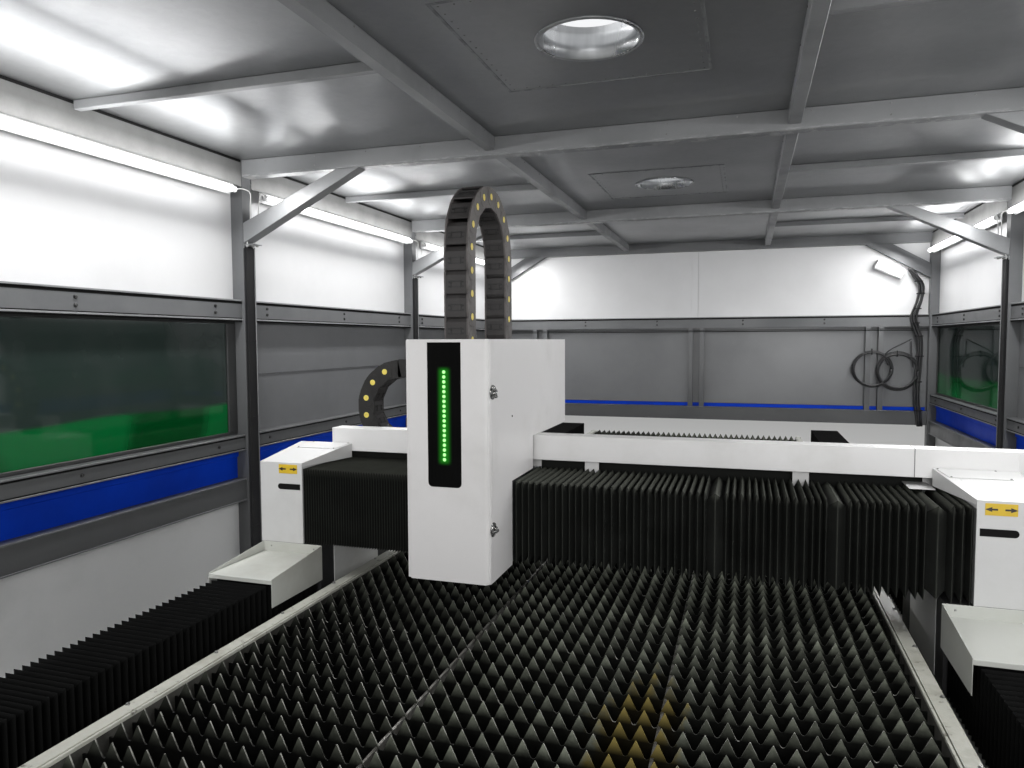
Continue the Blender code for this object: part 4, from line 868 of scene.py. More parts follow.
def row_tree():
    """Geometry nodes: Count copies of the Shape in a row by Step, each leaning and shifting a little."""
    tree, into, out = new_group("row_of_slats", "GeometryNodeTree", (
        ("Geometry", "Geometry", None), ("Shape", "Object", None), ("Count", "Int", None), ("First", "Vector", None),
        ("Step", "Vector", None), ("Lean", "Float", None), ("Play", "Float", None), ("Seed", "Int", None),
        ("Finish", "Material", None)), (("Geometry", "Geometry"),))
    line = joined(tree, "GeometryNodeMeshLine", {"mode": "OFFSET"}, Count=into["Count"], Start_Location=into["First"],
                  Offset=into["Step"])
    shape = joined(tree, "GeometryNodeObjectInfo", Object=into["Shape"])
    put = joined(tree, "GeometryNodeInstanceOnPoints", Points=line.outputs[0], Instance=shape.outputs["Geometry"])
    less = maths(tree, "MULTIPLY", into["Lean"], -1.0)
    low = joined(tree, "ShaderNodeCombineXYZ", X=less).outputs[0]
    high = joined(tree, "ShaderNodeCombineXYZ", X=into["Lean"]).outputs[0]
    vector = {"data_type": "FLOAT_VECTOR"}
    lean = joined(tree, "FunctionNodeRandomValue", vector, Min=low, Max=high, Seed=into["Seed"])
    spin = joined(tree, "FunctionNodeEulerToRotation", _0=lean.outputs[0])
    pivot = joined(tree, "GeometryNodeRotateInstances", Instances=put.outputs[0], Pivot_Point=(0, 0, SLAT_LOW),
                   Rotation=spin.outputs[0])
    back = maths(tree, "MULTIPLY", into["Play"], -1.0)
    near = joined(tree, "ShaderNodeCombineXYZ", X=back, Y=back).outputs[0]
    far = joined(tree, "ShaderNodeCombineXYZ", X=into["Play"], Y=into["Play"]).outputs[0]
    play = joined(tree, "FunctionNodeRandomValue", vector, Min=near, Max=far, Seed=into["Seed"])
    moved = joined(tree, "GeometryNodeTranslateInstances", Instances=pivot.outputs[0], Translation=play.outputs[0])
    real = joined(tree, "GeometryNodeRealizeInstances", Geometry=moved.outputs[0])
    painted = joined(tree, "GeometryNodeSetMaterial", Geometry=real.outputs[0], Material=into["Finish"])
    tree.links.new(painted.outputs[0], out[0])
    return tree


ROW = row_tree()


slat_steel = finish("burnt_steel", (0.068, 0.073, 0.058), (0.150, 0.162, 0.128), (9.0, 0.40, 0.62), (0.55, 0.72),
                    120.0, 0.6, 0.0005, 0.05, 0.12)
tree, into, colour, spot = inside(slat_steel)
place = apart(tree, spot)
# Darker down into the valleys between the teeth: painted shade.
valley_shade = remap(tree, place["Z"], 0.772, 0.810, 0.035, 1.10)
# Darker towards the left end of the pallet, away from the light: painted shade.
left_end_shade = remap(tree, place["X"], -0.75, 0.15, 0.26, 1.0, "SMOOTHSTEP")
dark = maths(tree, "MULTIPLY", valley_shade, left_end_shade)
band = joined(tree, "ShaderNodeMapping", Vector=spot, Scale=(1.2, 12.886, 0.4)).outputs[0]
strip = remap(tree, noise(tree, band, 1.0), 0.3, 0.7, 0.62, 1.5)
toned = scaled(tree, colour, maths(tree, "MULTIPLY", strip, dark))
edge = joined(tree, "ShaderNodeAttribute", {"attribute_name": "cut_edge"}).outputs["Fac"]
# Light grey in patches on the cut flanks, fading into the valleys: a painted highlight.
edge_highlight = maths(tree, "MULTIPLY", edge, remap(tree, noise(tree, spot, 30.0, 3.0), 0.35, 0.6))
edged = mixed(tree, maths(tree, "MULTIPLY", edge_highlight, valley_shade), toned, (0.34, 0.34, 0.31, 1))
rust_spot = joined(tree, "ShaderNodeMapping", Vector=spot, Location=(-1.05, 4.64, 0.0),
                   Scale=(3.6, 1.6, 0.0)).outputs[0]
reach = joined(tree, "ShaderNodeVectorMath", {"operation": "LENGTH"}, _0=rust_spot).outputs["Value"]
ragged = maths(tree, "MULTIPLY_ADD", noise(tree, spot, 5.0, 5.0, 0.65), 1.7, reach)
rusted = mixed(tree, remap(tree, ragged, 1.36, 1.12), edged, scaled(tree, (0.190, 0.150, 0.045), dark))
number = joined(tree, "ShaderNodeTexWhiteNoise", {"noise_dimensions": "1D"},
                W=maths(tree, "SNAP", place["Y"], SLAT_STEP))
chosen = remap(tree, number.outputs["Value"], 0.86, 0.90)
fleck = remap(tree, noise(tree, spot, 26.0, 4.0), 0.50, 0.60)
tip = maths(tree, "MULTIPLY", remap(tree, place["Z"], 0.788, 0.780), edge)
spatter = maths(tree, "MULTIPLY", maths(tree, "MULTIPLY", chosen, fleck), tip)
tree.links.new(mixed(tree, spatter, rusted, (0.40, 0.40, 0.37, 1)), into["Base Color"])
seed_mesh = bpy.data.meshes.new("slat_seed")
seed_mesh.from_pydata([(0, 0, 0)], [], [])
slat = slat_shape()
slats = grown("slats", seed_mesh, ROW,
              {"Shape": slat, "Count": SLAT_COUNT, "First": (0.0, SLAT_FIRST, 0.0), "Step": (0.0, SLAT_STEP, 0.0),
               "Lean": radians(1.1), "Play": 0.0008, "Seed": 5, "Finish": slat_steel}, "pallet")
bpy.data.objects.remove(slat, do_unlink=True)
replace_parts(slats, "slat_rack_front", "slat_rack_middle", "slat_rack_rear")

# The thin black strip between each rail's inner face and its seat is a painted shadow line.
bars, seats, seat_shadows, walls = (bmesh.new() for number in range(4))
for side in (-1, 1):
    x = side * 0.334
    bar(bars, (x - 0.004, PALLET_FRONT + 0.045, 0.6604), (x + 0.004, PALLET_REAR - 0.045, 0.7800), 0.001)
    for work, near, far, low, high, edge in ((walls, 1.0398, 1.0305, 0.700, 0.7880, 0.0),
                                             (seat_shadows, 1.0398, 1.0376, 0.7881, 0.7930, 0.0),
                                             (seats, 1.0374, 1.0300, 0.7882, 0.7985, 0.001)):
        bar(work, (side * near, PALLET_FRONT + 0.01, low), (side * far, PALLET_REAR - 0.01, high), edge)
support_steel = finish("support_steel", (0.22, 0.215, 0.20), (0.09, 0.085, 0.075), (9.0, 0.42, 0.62), (0.35, 0.6),
                       120.0, 0.4, 0.0004, 0.6)
piece_of("slat_support_bars", bars, support_steel, "pallet")
piece_of("slat_seats", seats, cream_paint, "pallet")
piece_of("seat_walls", walls, finish("seat_steel", (0.070, 0.069, 0.062), (0.035, 0.034, 0.030), (6.0, 0.40, 0.62),
                                     (0.5, 0.7), 120.0, 0.3, 0.0003, 0.0, 0.2), "pallet")
piece_of("seat_gaps", seat_shadows, shadow_black, "pallet")


# Bellows. Folded guards of black coated cloth, glued to thin stiff leaves, with a pale hem line
# along each outer fold; clipped to the end covers, the hoods and the carriage. The tops of the
# beam guards carry painted light, their hems a painted highlight too, and the rail guards are
# darkened as painted shade.
RAIL_GUARD_TOP, BEAM_GUARD_LOW = 0.89, 0.93
cloth = finish("bellows_cloth", (0.0090, 0.0096, 0.0086), (0.0135, 0.0143, 0.0129), (9.0, 0.42, 0.70), (0.70, 0.85),
               260.0, 0.35, 0.0004, 0.0, 0.10)
tree, into, colour, spot = inside(cloth)
place = apart(tree, spot)
fold = joined(tree, "ShaderNodeAttribute", {"attribute_name": "fold_edge"}).outputs["Fac"]
# Lighter grey green on the folds along the top of the beam guards: painted light from above.
on_top = maths(tree, "MULTIPLY", remap(tree, place["Z"], 1.222, 1.252, kind="SMOOTHSTEP"),
               remap(tree, place["Y"], -2.049, -2.038))
lit_tops = maths(tree, "MULTIPLY", on_top, remap(tree, fold, 0.30, 0.80))
lit_top_colour = mixed(tree, lit_tops, colour, (0.058, 0.061, 0.051, 1))
rubbed = remap(tree, noise(tree, spot, 6.0, 4.0), 0.30, 0.62, 0.35, 1.0)
# Pale line along each ridge, only on the beam guards: a hem that is also a painted highlight.
hem_and_highlight = maths(tree, "MULTIPLY", remap(tree, fold, 0.88, 1.0, kind="SMOOTHSTEP"), rubbed)
hem_and_highlight = maths(tree, "MULTIPLY", hem_and_highlight, remap(tree, place["Z"], RAIL_GUARD_TOP, BEAM_GUARD_LOW))
tree.links.new(mixed(tree, hem_and_highlight, lit_top_colour, (0.040, 0.043, 0.037, 1)), into["Base Color"])
# The rail guards below 0.89 m are darkened to a tenth: painted shade.
shaded_by_height(cloth, RAIL_GUARD_TOP, BEAM_GUARD_LOW, 0.10, 1.0)
FOLD_IN, LEAF = 0.030, 0.0016
END_SHARE, END_WEIGHT = 0.03, 0.015


def lengths_for(travel_share):
    """Shares where the bellows are split, so that no fold turns inside out as they close."""
    free = (1 - 2 * END_SHARE) / (1 - 2 * END_WEIGHT) / travel_share
    ratio = 0.97 * (free / (2 - free)) ** 2
    weights = [0.5]
    while weights[0] > END_WEIGHT:
        weights.insert(0, max(END_WEIGHT, weights[0] / ratio))
    weights = [0.0] + weights
    weights += [1 - w for w in reversed(weights[:-1])]
    span = (1 - 2 * END_SHARE) / (1 - 2 * END_WEIGHT)
    return [w * END_SHARE / END_WEIGHT if w <= END_WEIGHT else
            1 - (1 - w) * END_SHARE / END_WEIGHT if w >= 1 - END_WEIGHT else
            END_SHARE + (w - END_WEIGHT) * span for w in weights]


def bellows(name, replaced, start, end, folds, axis, section, travel, widths=None):
    """Bellows from the fixed end to the moving end, split into lengths by the travel."""
    widths = widths or [1.0] * folds
    places, run = [start], 0.0
    for width in widths:
        run += width
        places.append(start + (end - start) * run / sum(widths))
    length = abs(end - start)
    cuts = sorted({min(range(folds + 1), key=lambda i: abs(abs(places[i] - start) / length - share))
                   for share in lengths_for(travel / length)})
    crown = 0.0004 if end > start else -0.0004
    for part, (first, last) in enumerate(zip(cuts, cuts[1:])):
        rings = []
        for k in range(first, last):
            middle = (places[k] + places[k + 1]) / 2
            dip = 0.0 if widths[k] < 1.5 else 0.006
            rings += [(places[k], FOLD_IN, 0.0), (middle - crown, dip, 1.0), (middle + crown, dip, 1.0)]
        rings.append((places[last], FOLD_IN, 0.0))
        bm = bmesh.new()
        edge = bm.verts.layers.float.new("fold_edge")
        rows = []
        for s, inset, hem_value in rings:
            rows.append([bm.verts.new((s, *point) if axis == "X" else (point[0], s, point[1]))
                         for point in section(inset) + section(inset + LEAF)[::-1]])
            for vertex in rows[-1]:
                vertex[edge] = hem_value
        joined_rows(bm, rows)
        piece = piece_of(f"{name}_{part + 1}", bm, cloth, None)
        if part == 0:
            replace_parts(piece, replaced)
        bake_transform(piece)


def rail_section(side):
    """Upside down trough of the bellows over a Y rail, as (x, z) points inset by the fold."""
    def section(inset):
        near, far, high, low = 1.180 + inset, 1.430 - inset, 0.875 - inset, 0.632
        return [(side * x, z) for x, z in ((near, low), (near, high), (far, high), (far, low))]
    return section


def beam_section(inset):
    """Trough of the bellows round the front of the beam, as (y, z) points inset by the fold."""
    front, low, high = -2.051 + inset, 0.940 + inset, 1.260 - inset
    return [(-1.935, low), (front, low), (front, high), (-1.698, high)]


for side, label in ((-1, "left"), (1, "right")):
    bellows("y_guard_rear_" + label, "y_bellows_rear_" + label, 3.33, -1.3997, 128, "Y", rail_section(side),
            4.0)
    bellows("y_guard_front_" + label, "y_bellows_front_" + label, -3.53, -2.0493, 52, "Y", rail_section(side),
            1.1, [0.62 + 0.40 * k / 51 for k in range(52)])
random.seed(21)
bellows("x_guard_left", "x_bellows_left", -1.2517, -0.6323, 52, "X", beam_section, 0.43)
loose = [random.uniform(0.82, 1.18) for number in range(58)]
for k, width in ((3, 2.3), (4, 0.7), (14, 2.2), (15, 0.6), (29, 2.1), (30, 0.7)):
    loose[k] = width
bellows("x_guard_right", "x_bellows_right", 1.2517, -0.3117, 58, "X", beam_section, 1.35, loose)


# Gantry. A machined steel beam on two carriages, with folded and powder coated end
# covers, hoods over the bellows ends, and a folded tray behind the beam for the chain.
def own_shape(node):
    """The solid's own shape with its flat faces whole."""
    bm = bmesh.new()
    bm.from_mesh(nodes[node].data)
    bmesh.ops.remove_doubles(bm, verts=bm.verts, dist=0.00001)
    bmesh.ops.dissolve_limit(bm, angle_limit=radians(0.8), verts=bm.verts, edges=bm.edges)
    return bm


def rounded(name, node, edge, material, body, segments=2):
    """The solid's own shape with its folds softened, in place of the plain node."""
    piece = piece_of(name, own_shape(node), material, body)
    soften(piece, edge, segments, 28)
    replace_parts(piece, node)


def coated_white(name, colour, second):
    """Powder coat with a faint orange peel and rubbed, slightly yellowed patches."""
    return finish(name, colour, second, (2.6, 0.46, 0.78), (0.36, 0.48), 150.0, 0.035, 0.00012)


white_coat = coated_white("white_coat", (0.66, 0.655, 0.65), (0.57, 0.565, 0.55))
cover_coat = coated_white("cover_coat", (0.56, 0.56, 0.555), (0.49, 0.485, 0.475))
hood_coat = coated_white("hood_coat", (0.50, 0.51, 0.475), (0.42, 0.42, 0.38))
beam_steel = finish("beam_steel", (0.090, 0.092, 0.094), (0.05, 0.05, 0.05), (4.0, 0.4, 0.7), (0.32, 0.5), 200.0, 0.2,
                    0.0002, 0.6, stretch=(0.2, 1, 1))
foot_paint = finish("foot_paint", (0.022, 0.022, 0.023), (0.014, 0.014, 0.015), (5.0, 0.4, 0.7), (0.5, 0.65), 120.0,
                    0.1)
dress(beam_steel, "gantry_beam")
dress(foot_paint, "gantry_foot_left", "gantry_foot_right")
foot_plates = bmesh.new()
for side in (-1, 1):
    bar(foot_plates, (side * 1.1698, -1.946, 0.650), (side * 1.1672, -1.550, 0.925), 0.0008)
piece_of("foot_plates", foot_plates, bed_paint, "gantry")
rounded("chain_tray", "cable_tray", 0.0012, white_coat, "gantry", 1)

COVER_FACE, COVER_ROOF, COVER_FOOT, TRAY_FACE, TRAY_WEDGE = -2.051, 1.284, 0.937, -1.7406, 1.331
HOOD_FRONT, HOOD_REAR = -2.400, -2.0520


def roof(y):
    """Height of the sloping roof of an end cover."""
    return COVER_ROOF + (TRAY_WEDGE - COVER_ROOF) / (TRAY_FACE - COVER_FACE) * (y - COVER_FACE)


def slab(bm, shape, side, under, over):
    """A plate over an (x, y) outline between two heights that may follow the roof."""
    joined_rows(bm, [[bm.verts.new((side * x, y, height(y))) for x, y in shape] for height in (under, over)])


FLARE = [(1.2519, COVER_FACE), (1.2519, TRAY_FACE), (1.1900, TRAY_FACE)]
LID = [(1.198, -1.7450), (1.392, -1.7450), (1.417, -1.8400), (1.222, -1.8400)]
slot_fill, plates, arrows, joint, lid_seams = (bmesh.new() for number in range(5))
places, upstand_places = [], []
for side, label in ((-1, "left"), (1, "right")):
    cover, hood = bmesh.new(), bmesh.new()
    profile_along(cover, [(COVER_FACE, COVER_FOOT), (-1.300, COVER_FOOT), (-1.300, 1.249), (-1.656, 1.249),
                          (-1.656, 1.2838), (TRAY_FACE, 1.2838), (TRAY_FACE, TRAY_WEDGE), (COVER_FACE, COVER_ROOF)],
                  side * 1.2520, side * 1.4595, "X")
    slab(cover, FLARE, side, lambda y: 1.2665, roof)
    slab(cover, LID, side, lambda y: roof(y) - 0.001, lambda y: roof(y) + 0.0022)
    for (ax, ay), (bx, by) in zip(LID, LID[1:] + LID[:1]):
        wide = Vector((by - ay, ax - bx)).normalized() * 0.0022
        strip = [(ax, ay), (bx, by), (bx + wide.x, by + wide.y), (ax + wide.x, ay + wide.y)]
        slab(lid_seams, strip, side, lambda y: roof(y) - 0.001, lambda y: roof(y) + 0.0008)
    piece = piece_of("end_cover_" + label, cover, cover_coat, "gantry")
    soften(piece, 0.0010)
    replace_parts(piece, "gantry_end_" + label)
    places += [((side * x, y, roof(y) + 0.0024), (0.15, 0, 0)) for x, y in
               ((1.204, -1.750), (1.386, -1.750), (1.229, -1.835), (1.410, -1.835))]
    ring = [(1.262, 1.1675)] + rim(0.0125, 12, 1.3595, 1.180, -pi / 2, pi) + [(1.3595, 1.1925), (1.262, 1.1925)]
    profile_along(slot_fill, [(side * x, z) for x, z in ring], COVER_FACE - 0.0007, COVER_FACE + 0.002)
    plate_x = side * 1.3205
    bar(plates, (plate_x - 0.0455, COVER_FACE - 0.0011, 1.2365), (plate_x + 0.0455, COVER_FACE + 0.0004, 1.2755),
        0.0003)
    for way in (-1, 1):
        outline = [(plate_x + way * out, 1.2560 + up) for out, up in
                   ((0.010, -0.003), (0.026, -0.003), (0.026, -0.008), (0.046, 0.0), (0.026, 0.008), (0.026, 0.003),
                    (0.010, 0.003))]
        profile_along(arrows, outline, COVER_FACE - 0.0016, COVER_FACE - 0.0010)
    cheek = [(HOOD_FRONT, 0.790), (HOOD_REAR, 0.790), (HOOD_REAR, 0.9365), (HOOD_FRONT, 0.8995)]
    for x in (1.1605, 1.4475):
        profile_along(hood, cheek, side * x, side * (x + 0.0025), "X")
    for near, far, low, high in ((HOOD_FRONT, HOOD_REAR, 0.8930, 0.8955), (HOOD_FRONT, -2.3975, 0.8800, 0.8932),
                                 (-2.0535, -2.0512, 0.8930, 0.9365)):
        bar(hood, (side * 1.1628, near, low), (side * 1.4477, far, high))
    piece = piece_of("hood_" + label, hood, hood_coat, "gantry")
    soften(piece, 0.0007, 1)
    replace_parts(piece, "gantry_hood_" + label)
    upstand_places += [((side * x, -2.0534, 0.918), FACING["-Y"]) for x in (1.20, 1.41)]
bar(joint, (1.1308, -1.7410, 1.2952), (1.1332, -1.7396, 1.3998))
bar(joint, (1.1308, -1.7398, 1.3996), (1.1332, -1.6510, 1.4006))
places.append(((1.305, -1.72, 1.3999), FACING["+Z"]))
places += upstand_places
tray_parts, backing = bmesh.new(), bmesh.new()
bar(tray_parts, (1.4596, -1.7398, 1.2952), (1.5050, -1.6502, 1.3998), 0.001)
bar(tray_parts, (1.105, -1.800, 1.2622), (1.1885, -1.6600, 1.2650), 0.0006)
for x in (-0.0735, 0.747):
    bar(tray_parts, (x - 0.030, -1.7000, 1.2215), (x + 0.030, -1.6975, 1.2985), 0.0006)
    bar(tray_parts, (x - 0.030, -1.7000, 1.2960), (x + 0.030, -1.6570, 1.2985), 0.0006)
piece_of("tray_end_and_brackets", tray_parts, white_coat, "gantry")
for near, far in ((-1.248, -0.645), (-0.305, 1.176)):
    bar(backing, (near, -1.6565, 1.2215), (far, -1.6534, 1.2990), 0.0006)
piece_of("tray_backing", backing, cloth, "gantry")
# The slots are filled flush with near black: painted shade for their insides.
piece_of("cover_slots", slot_fill, shadow_black, "gantry")
piece_of("direction_plates", plates, finish("plate_yellow", (0.62, 0.42, 0.02), (0.50, 0.34, 0.02)), "gantry")
piece_of("direction_arrows", arrows, finish("arrow_black", (0.02, 0.015, 0.012), (0.04, 0.03, 0.02)), "gantry")
joint_shade = finish("joint_shade", (0.10, 0.10, 0.10), (0.16, 0.16, 0.16))
piece_of("tray_joint", joint, joint_shade, "gantry")
piece_of("lid_seams", lid_seams, finish("seam_grey", (0.30, 0.30, 0.29), (0.40, 0.40, 0.39)), "gantry")
fitted("cover_screws", PAN_SCREW, places, bolt_zinc, "gantry", size=0.85)


# X chain. Moulded black nylon drag chain that lies in the tray, bends back over itself
# and runs into the side of the cutting head; each link pin has a yellow cap.
LINK_WIDE, LINK_TALL = 0.100, 0.085
chain_black = finish("chain_black", (0.027, 0.025, 0.0245), (0.038, 0.0355, 0.035), (12.0, 0.42, 0.70), (0.50, 0.62),
                     350.0, 0.22, 0.0003, 0.0, 0.3)
# Side plates in two tones of the one plastic, near black for the X chain in the tray and light for the Z chain on top:
# painted shade and light.
shaded_side_plates = finish("shaded_side_plates", (0.011, 0.0105, 0.010), (0.017, 0.016, 0.015), (12.0, 0.42, 0.70), (0.5, 0.62), 350.0,
                  0.2, 0.0003, 0.0, 0.3)
lit_side_plates = finish("lit_side_plates", (0.085, 0.077, 0.074), (0.060, 0.055, 0.053), (12.0, 0.42, 0.70), (0.48, 0.6), 350.0,
                   0.2, 0.0003, 0.0, 0.3)
cap_yellow = finish("cap_yellow", (0.66, 0.54, 0.10), (0.54, 0.44, 0.08), (60.0, 0.4, 0.7), (0.45, 0.55), 300.0, 0.1)
# Near black: on the raised marks of the covers it is painted shade for their outlines; the rings under the caps use it
# too.
rim_dark = finish("rim_dark", (0.004, 0.004, 0.004), (0.007, 0.007, 0.006), (60.0, 0.4, 0.7), (0.6, 0.7), 300.0, 0.1)


def link_shape(name, pitch, shrink=1.0):
    """Covers of one link along X: stepped plates on both faces, each over a block within."""
    bm = bmesh.new()
    wide, tall = LINK_WIDE / 2 * shrink, LINK_TALL / 2 * shrink
    near, far = -pitch / 2, pitch / 2
    for face in (-1, 1):
        outline = [(near + 0.001, -0.014), (near + 0.007, -0.009), (near + 0.020, -0.001), (far - 0.010, 0.0012),
                   (far + 0.001, 0.0004), (far + 0.0035, -0.004), (far - 0.002, -0.009), (near + 0.003, -0.016)]
        profile_along(bm, [(x, face * (tall + up)) for x, up in outline], -wide + 0.0085, wide - 0.0085)
        bar(bm, (near + 0.012, -wide + 0.006, face * (tall - 0.006)), (far - 0.012, wide - 0.006,
                                                                       face * (tall - 0.013)))
    return shape_of(name, bm)


def mark_shape(name, shrink=1.0):
    """Moulded mark on both covers of a link: two bars, two thin lines between them and four pips."""
    bm = bmesh.new()
    tall = LINK_TALL / 2 * shrink
    for face in (-1, 1):
        low, high = face * (tall - 0.0004), face * (tall + 0.0022)
        for a, b in (((-0.004, -0.0220), (0.024, -0.0185)), ((-0.004, 0.0185), (0.024, 0.0220)),
                     ((-0.0025, -0.0185), (0.0005, 0.0185)), ((0.0195, -0.0185), (0.0225, 0.0185))):
            bar(bm, (*a, low), (*b, high))
        for x, y in ((0.002, -0.0285), (0.019, -0.0285), (0.002, 0.0285), (0.019, 0.0285)):
            bar(bm, (x - 0.0034, y - 0.0036, low), (x + 0.0034, y + 0.0036, high))
    return shape_of(name, bm)


def side_shape(name, pitch, shrink=1.0):
    """Side plates of one link along X: a flat plate and a round boss over the next pin."""
    bm = bmesh.new()
    wide, tall = LINK_WIDE / 2 * shrink, LINK_TALL / 2 * shrink
    near, far = -pitch / 2, pitch / 2
    plate = [(near + 0.002, -tall + 0.004), (near + 0.008, -tall), (far - 0.020, -tall), (far, -tall + 0.003),
             (far, tall - 0.003), (far - 0.020, tall), (near + 0.008, tall), (near + 0.002, tall - 0.004)]
    for side in (-1, 1):
        profile_along(bm, plate, side * (wide - 0.0015), side * (wide - 0.0078))
        profile_along(bm, rim(tall - 0.0035, 22, far, 0.0), side * (wide - 0.0003), side * (wide - 0.0085))
    return shape_of(name, bm)


def cap_shape(name, radius, proud):
    """Round cap on a pin, standing on Z."""
    bm = bmesh.new()
    turned(bm, [(0, -0.001), (radius, -0.001), (radius, proud - 0.0005), (radius * 0.86, proud), (0, proud)], 16)
    return shape_of(name, bm)


def frame_turn(along, across):
    """Euler turn that puts local X along a direction and local Y across."""
    along, across = Vector(along).normalized(), Vector(across).normalized()
    return tuple(Matrix((along, across, along.cross(across))).transposed().to_euler())


def chain_run(name, spots, pitch, across, side_finish, body, replaced=None, shrink=1.0):
    """Links centred at (point, along) spots: covers, marks, side plates, cap rims and caps."""
    shapes = (link_shape(name + "_link", pitch, shrink), mark_shape(name + "_mark", shrink),
              side_shape(name + "_side", pitch, shrink))
    places = [(p, frame_turn(a, across)) for p, a in spots]
    pins = []
    for p, a in spots:
        face = Vector(a).normalized()
        for out in (-Vector(across), Vector(across)):
            centre = Vector(p) + face * pitch / 2 + out * (LINK_WIDE / 2 * shrink - 0.0004)
            pins.append((tuple(centre), frame_turn(face, out.cross(face))))
    work = zip(("_covers", "_marks", "_plates", "_rims", "_caps"), (*shapes, cap_rim, pin_cap),
               [places] * 3 + [pins] * 2, (chain_black, rim_dark, side_finish, rim_dark, cap_yellow))
    made = [fitted(name + part, shape, at, look, body) for part, shape, at, look in work]
    if replaced:
        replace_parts(made[0], replaced)
    for shape in shapes:
        bpy.data.objects.remove(shape, do_unlink=True)
    return made


def straight(start, end, links):
    """Evenly spaced link centres on a line."""
    a, b = Vector(start), Vector(end)
    return [(tuple(a.lerp(b, (k + 0.5) / links)), tuple((b - a).normalized())) for k in range(links)]


def curved(centre, radius, first, sweep, links, plane):
    """Link centres round an arc; plane is XZ or YZ. Returns the spots and the pitch of the chords."""
    out = []
    step = sweep / links
    for k in range(links):
        a = first + (k + 0.5) * step
        u, v = (radius * cos(step / 2) * turn for turn in (cos(a), sin(a)))
        if plane == "XZ":
            out.append(((centre[0] + u, centre[1], centre[2] + v), (-sin(a), 0, cos(a))))
        else:
            out.append(((centre[0], centre[1] + u, centre[2] + v), (0, -sin(a), cos(a))))
    return out, 2 * radius * sin(step / 2)


X_CHAIN_Y, X_LOW, X_HIGH, X_BEND_X, X_BEND = -1.51, 1.2978, 1.6718, -1.030, 0.187
X_PITCH, X_FIRST, X_ACROSS = 0.0915, -1.044, (0, 1, 0)
pin_cap, cap_rim = cap_shape("pin_cap", 0.0135, 0.0014), cap_shape("cap_rim", 0.0155, 0.0008)


def high_run(name, first, links, body, replaced=None, shrink=1.0, shift=0.0):
    """Links of the upper run from a place on its even spacing."""
    start, end = (X_FIRST + shift + X_PITCH * k for k in (first, first + links))
    return chain_run(name, straight((start, X_CHAIN_Y, X_HIGH), (end, X_CHAIN_Y, X_HIGH), links), X_PITCH, X_ACROSS,
                     shaded_side_plates, body, replaced, shrink)


chain_run("x_chain_low", straight((-1.262, X_CHAIN_Y, X_LOW), (-0.1937, X_CHAIN_Y, X_LOW), 12), 0.0890, X_ACROSS,
          shaded_side_plates, "gantry", "x_chain_lower", 0.994)
spots, chord = curved((X_BEND_X, X_CHAIN_Y, (X_LOW + X_HIGH) / 2), X_BEND, pi / 2, pi, 7, "XZ")
chain_run("x_chain_turn", spots, chord, X_ACROSS, shaded_side_plates, "x_chain_loop", "x_chain_bend")
high_run("x_chain_top", 0, 5, "x_chain_loop", "x_chain_upper")
for piece in high_run("x_chain_follow", 2, 4, None, None, 0.985):
    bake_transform(piece)
high_run("x_chain_head_end", 3, 2, "head", None, 0.975, -0.06)
collar = bmesh.new()
for near, far, low, high in ((-1.578, -1.442, 1.612, 1.624), (-1.578, -1.442, 1.720, 1.732),
                             (-1.578, -1.566, 1.624, 1.720), (-1.454, -1.442, 1.624, 1.720)):
    bar(collar, (-0.6364, near, low), (-0.6318, far, high), 0.001)
bar(collar, (-0.6326, -1.566, 1.624), (-0.6319, -1.454, 1.720))
piece_of("chain_entry_collar", collar, gasket_rubber, "head")


# Cutting head. Folded and welded cover of powder coated sheet with a hinged front door;
# a smoked acrylic window carries a column of green indicator lights, with a painted green glow round them.
HEAD_SIDES, HEAD_FRONT, DOOR_SEAM = (-0.632, -0.312), -2.32, -2.285
LIGHTS_X, LIGHTS_TOP, LIGHT_STEP = -0.481, 1.690, 0.0174
head_coat = coated_white("head_coat", (0.645, 0.635, 0.63), (0.57, 0.56, 0.55))
rounded("head_cover_shell", "head_cover", 0.0022, head_coat, "head")
door = own_shape("head_door")
uprights = [e for e in door.edges if abs(e.verts[0].co.z - e.verts[1].co.z) > 0.8
            and max(v.co.y for v in e.verts) < HEAD_FRONT + 0.001
            and min(abs(e.verts[0].co.x - x) for x in HEAD_SIDES) < 0.001]
bmesh.ops.bevel(door, geom=uprights, offset=0.018, segments=6, affect="EDGES", profile=0.5)
piece = piece_of("head_door_pan", door, head_coat, "door")
soften(piece, 0.0016, 2, 40)
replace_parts(piece, "head_door")
dress(beam_steel, "x_carriage", "z_slide")

acrylic = finish("smoked_acrylic", (0.0022, 0.0023, 0.0021), (0.003, 0.003, 0.003), (3.0, 0.4, 0.7), (0.30, 0.38),
                 60.0, 0.05, 0.00002, 0.0, 0.03)
tree, into, _, spot = inside(acrylic)
# Painted light: a soft green glow on the acrylic round the column of lights.
place = apart(tree, spot)
away = maths(tree, "ABSOLUTE", maths(tree, "SUBTRACT", place["X"], LIGHTS_X))
halo = remap(tree, away, 0.032, 0.002, kind="SMOOTHERSTEP")
column = maths(tree, "MULTIPLY", remap(tree, place["Z"], 1.712, 1.690, kind="SMOOTHSTEP"),
               remap(tree, place["Z"], 1.354, 1.376, kind="SMOOTHSTEP"))
glow = mixed(tree, maths(tree, "MULTIPLY", column, halo), (0, 0, 0, 1), (0.010, 0.19, 0.008, 1))
tree.links.new(glow, into["Emission Color"])
into["Emission Strength"].default_value = 1.0
dress(acrylic, "led_window")


def green_glow(tree):
    """Green light, whiter towards the core of each lens."""
    core = joined(tree, "ShaderNodeAttribute", {"attribute_name": "core"}).outputs["Fac"]
    return mixed(tree, core, (0.03, 0.42, 0.03, 1), (0.62, 1.0, 0.42, 1))


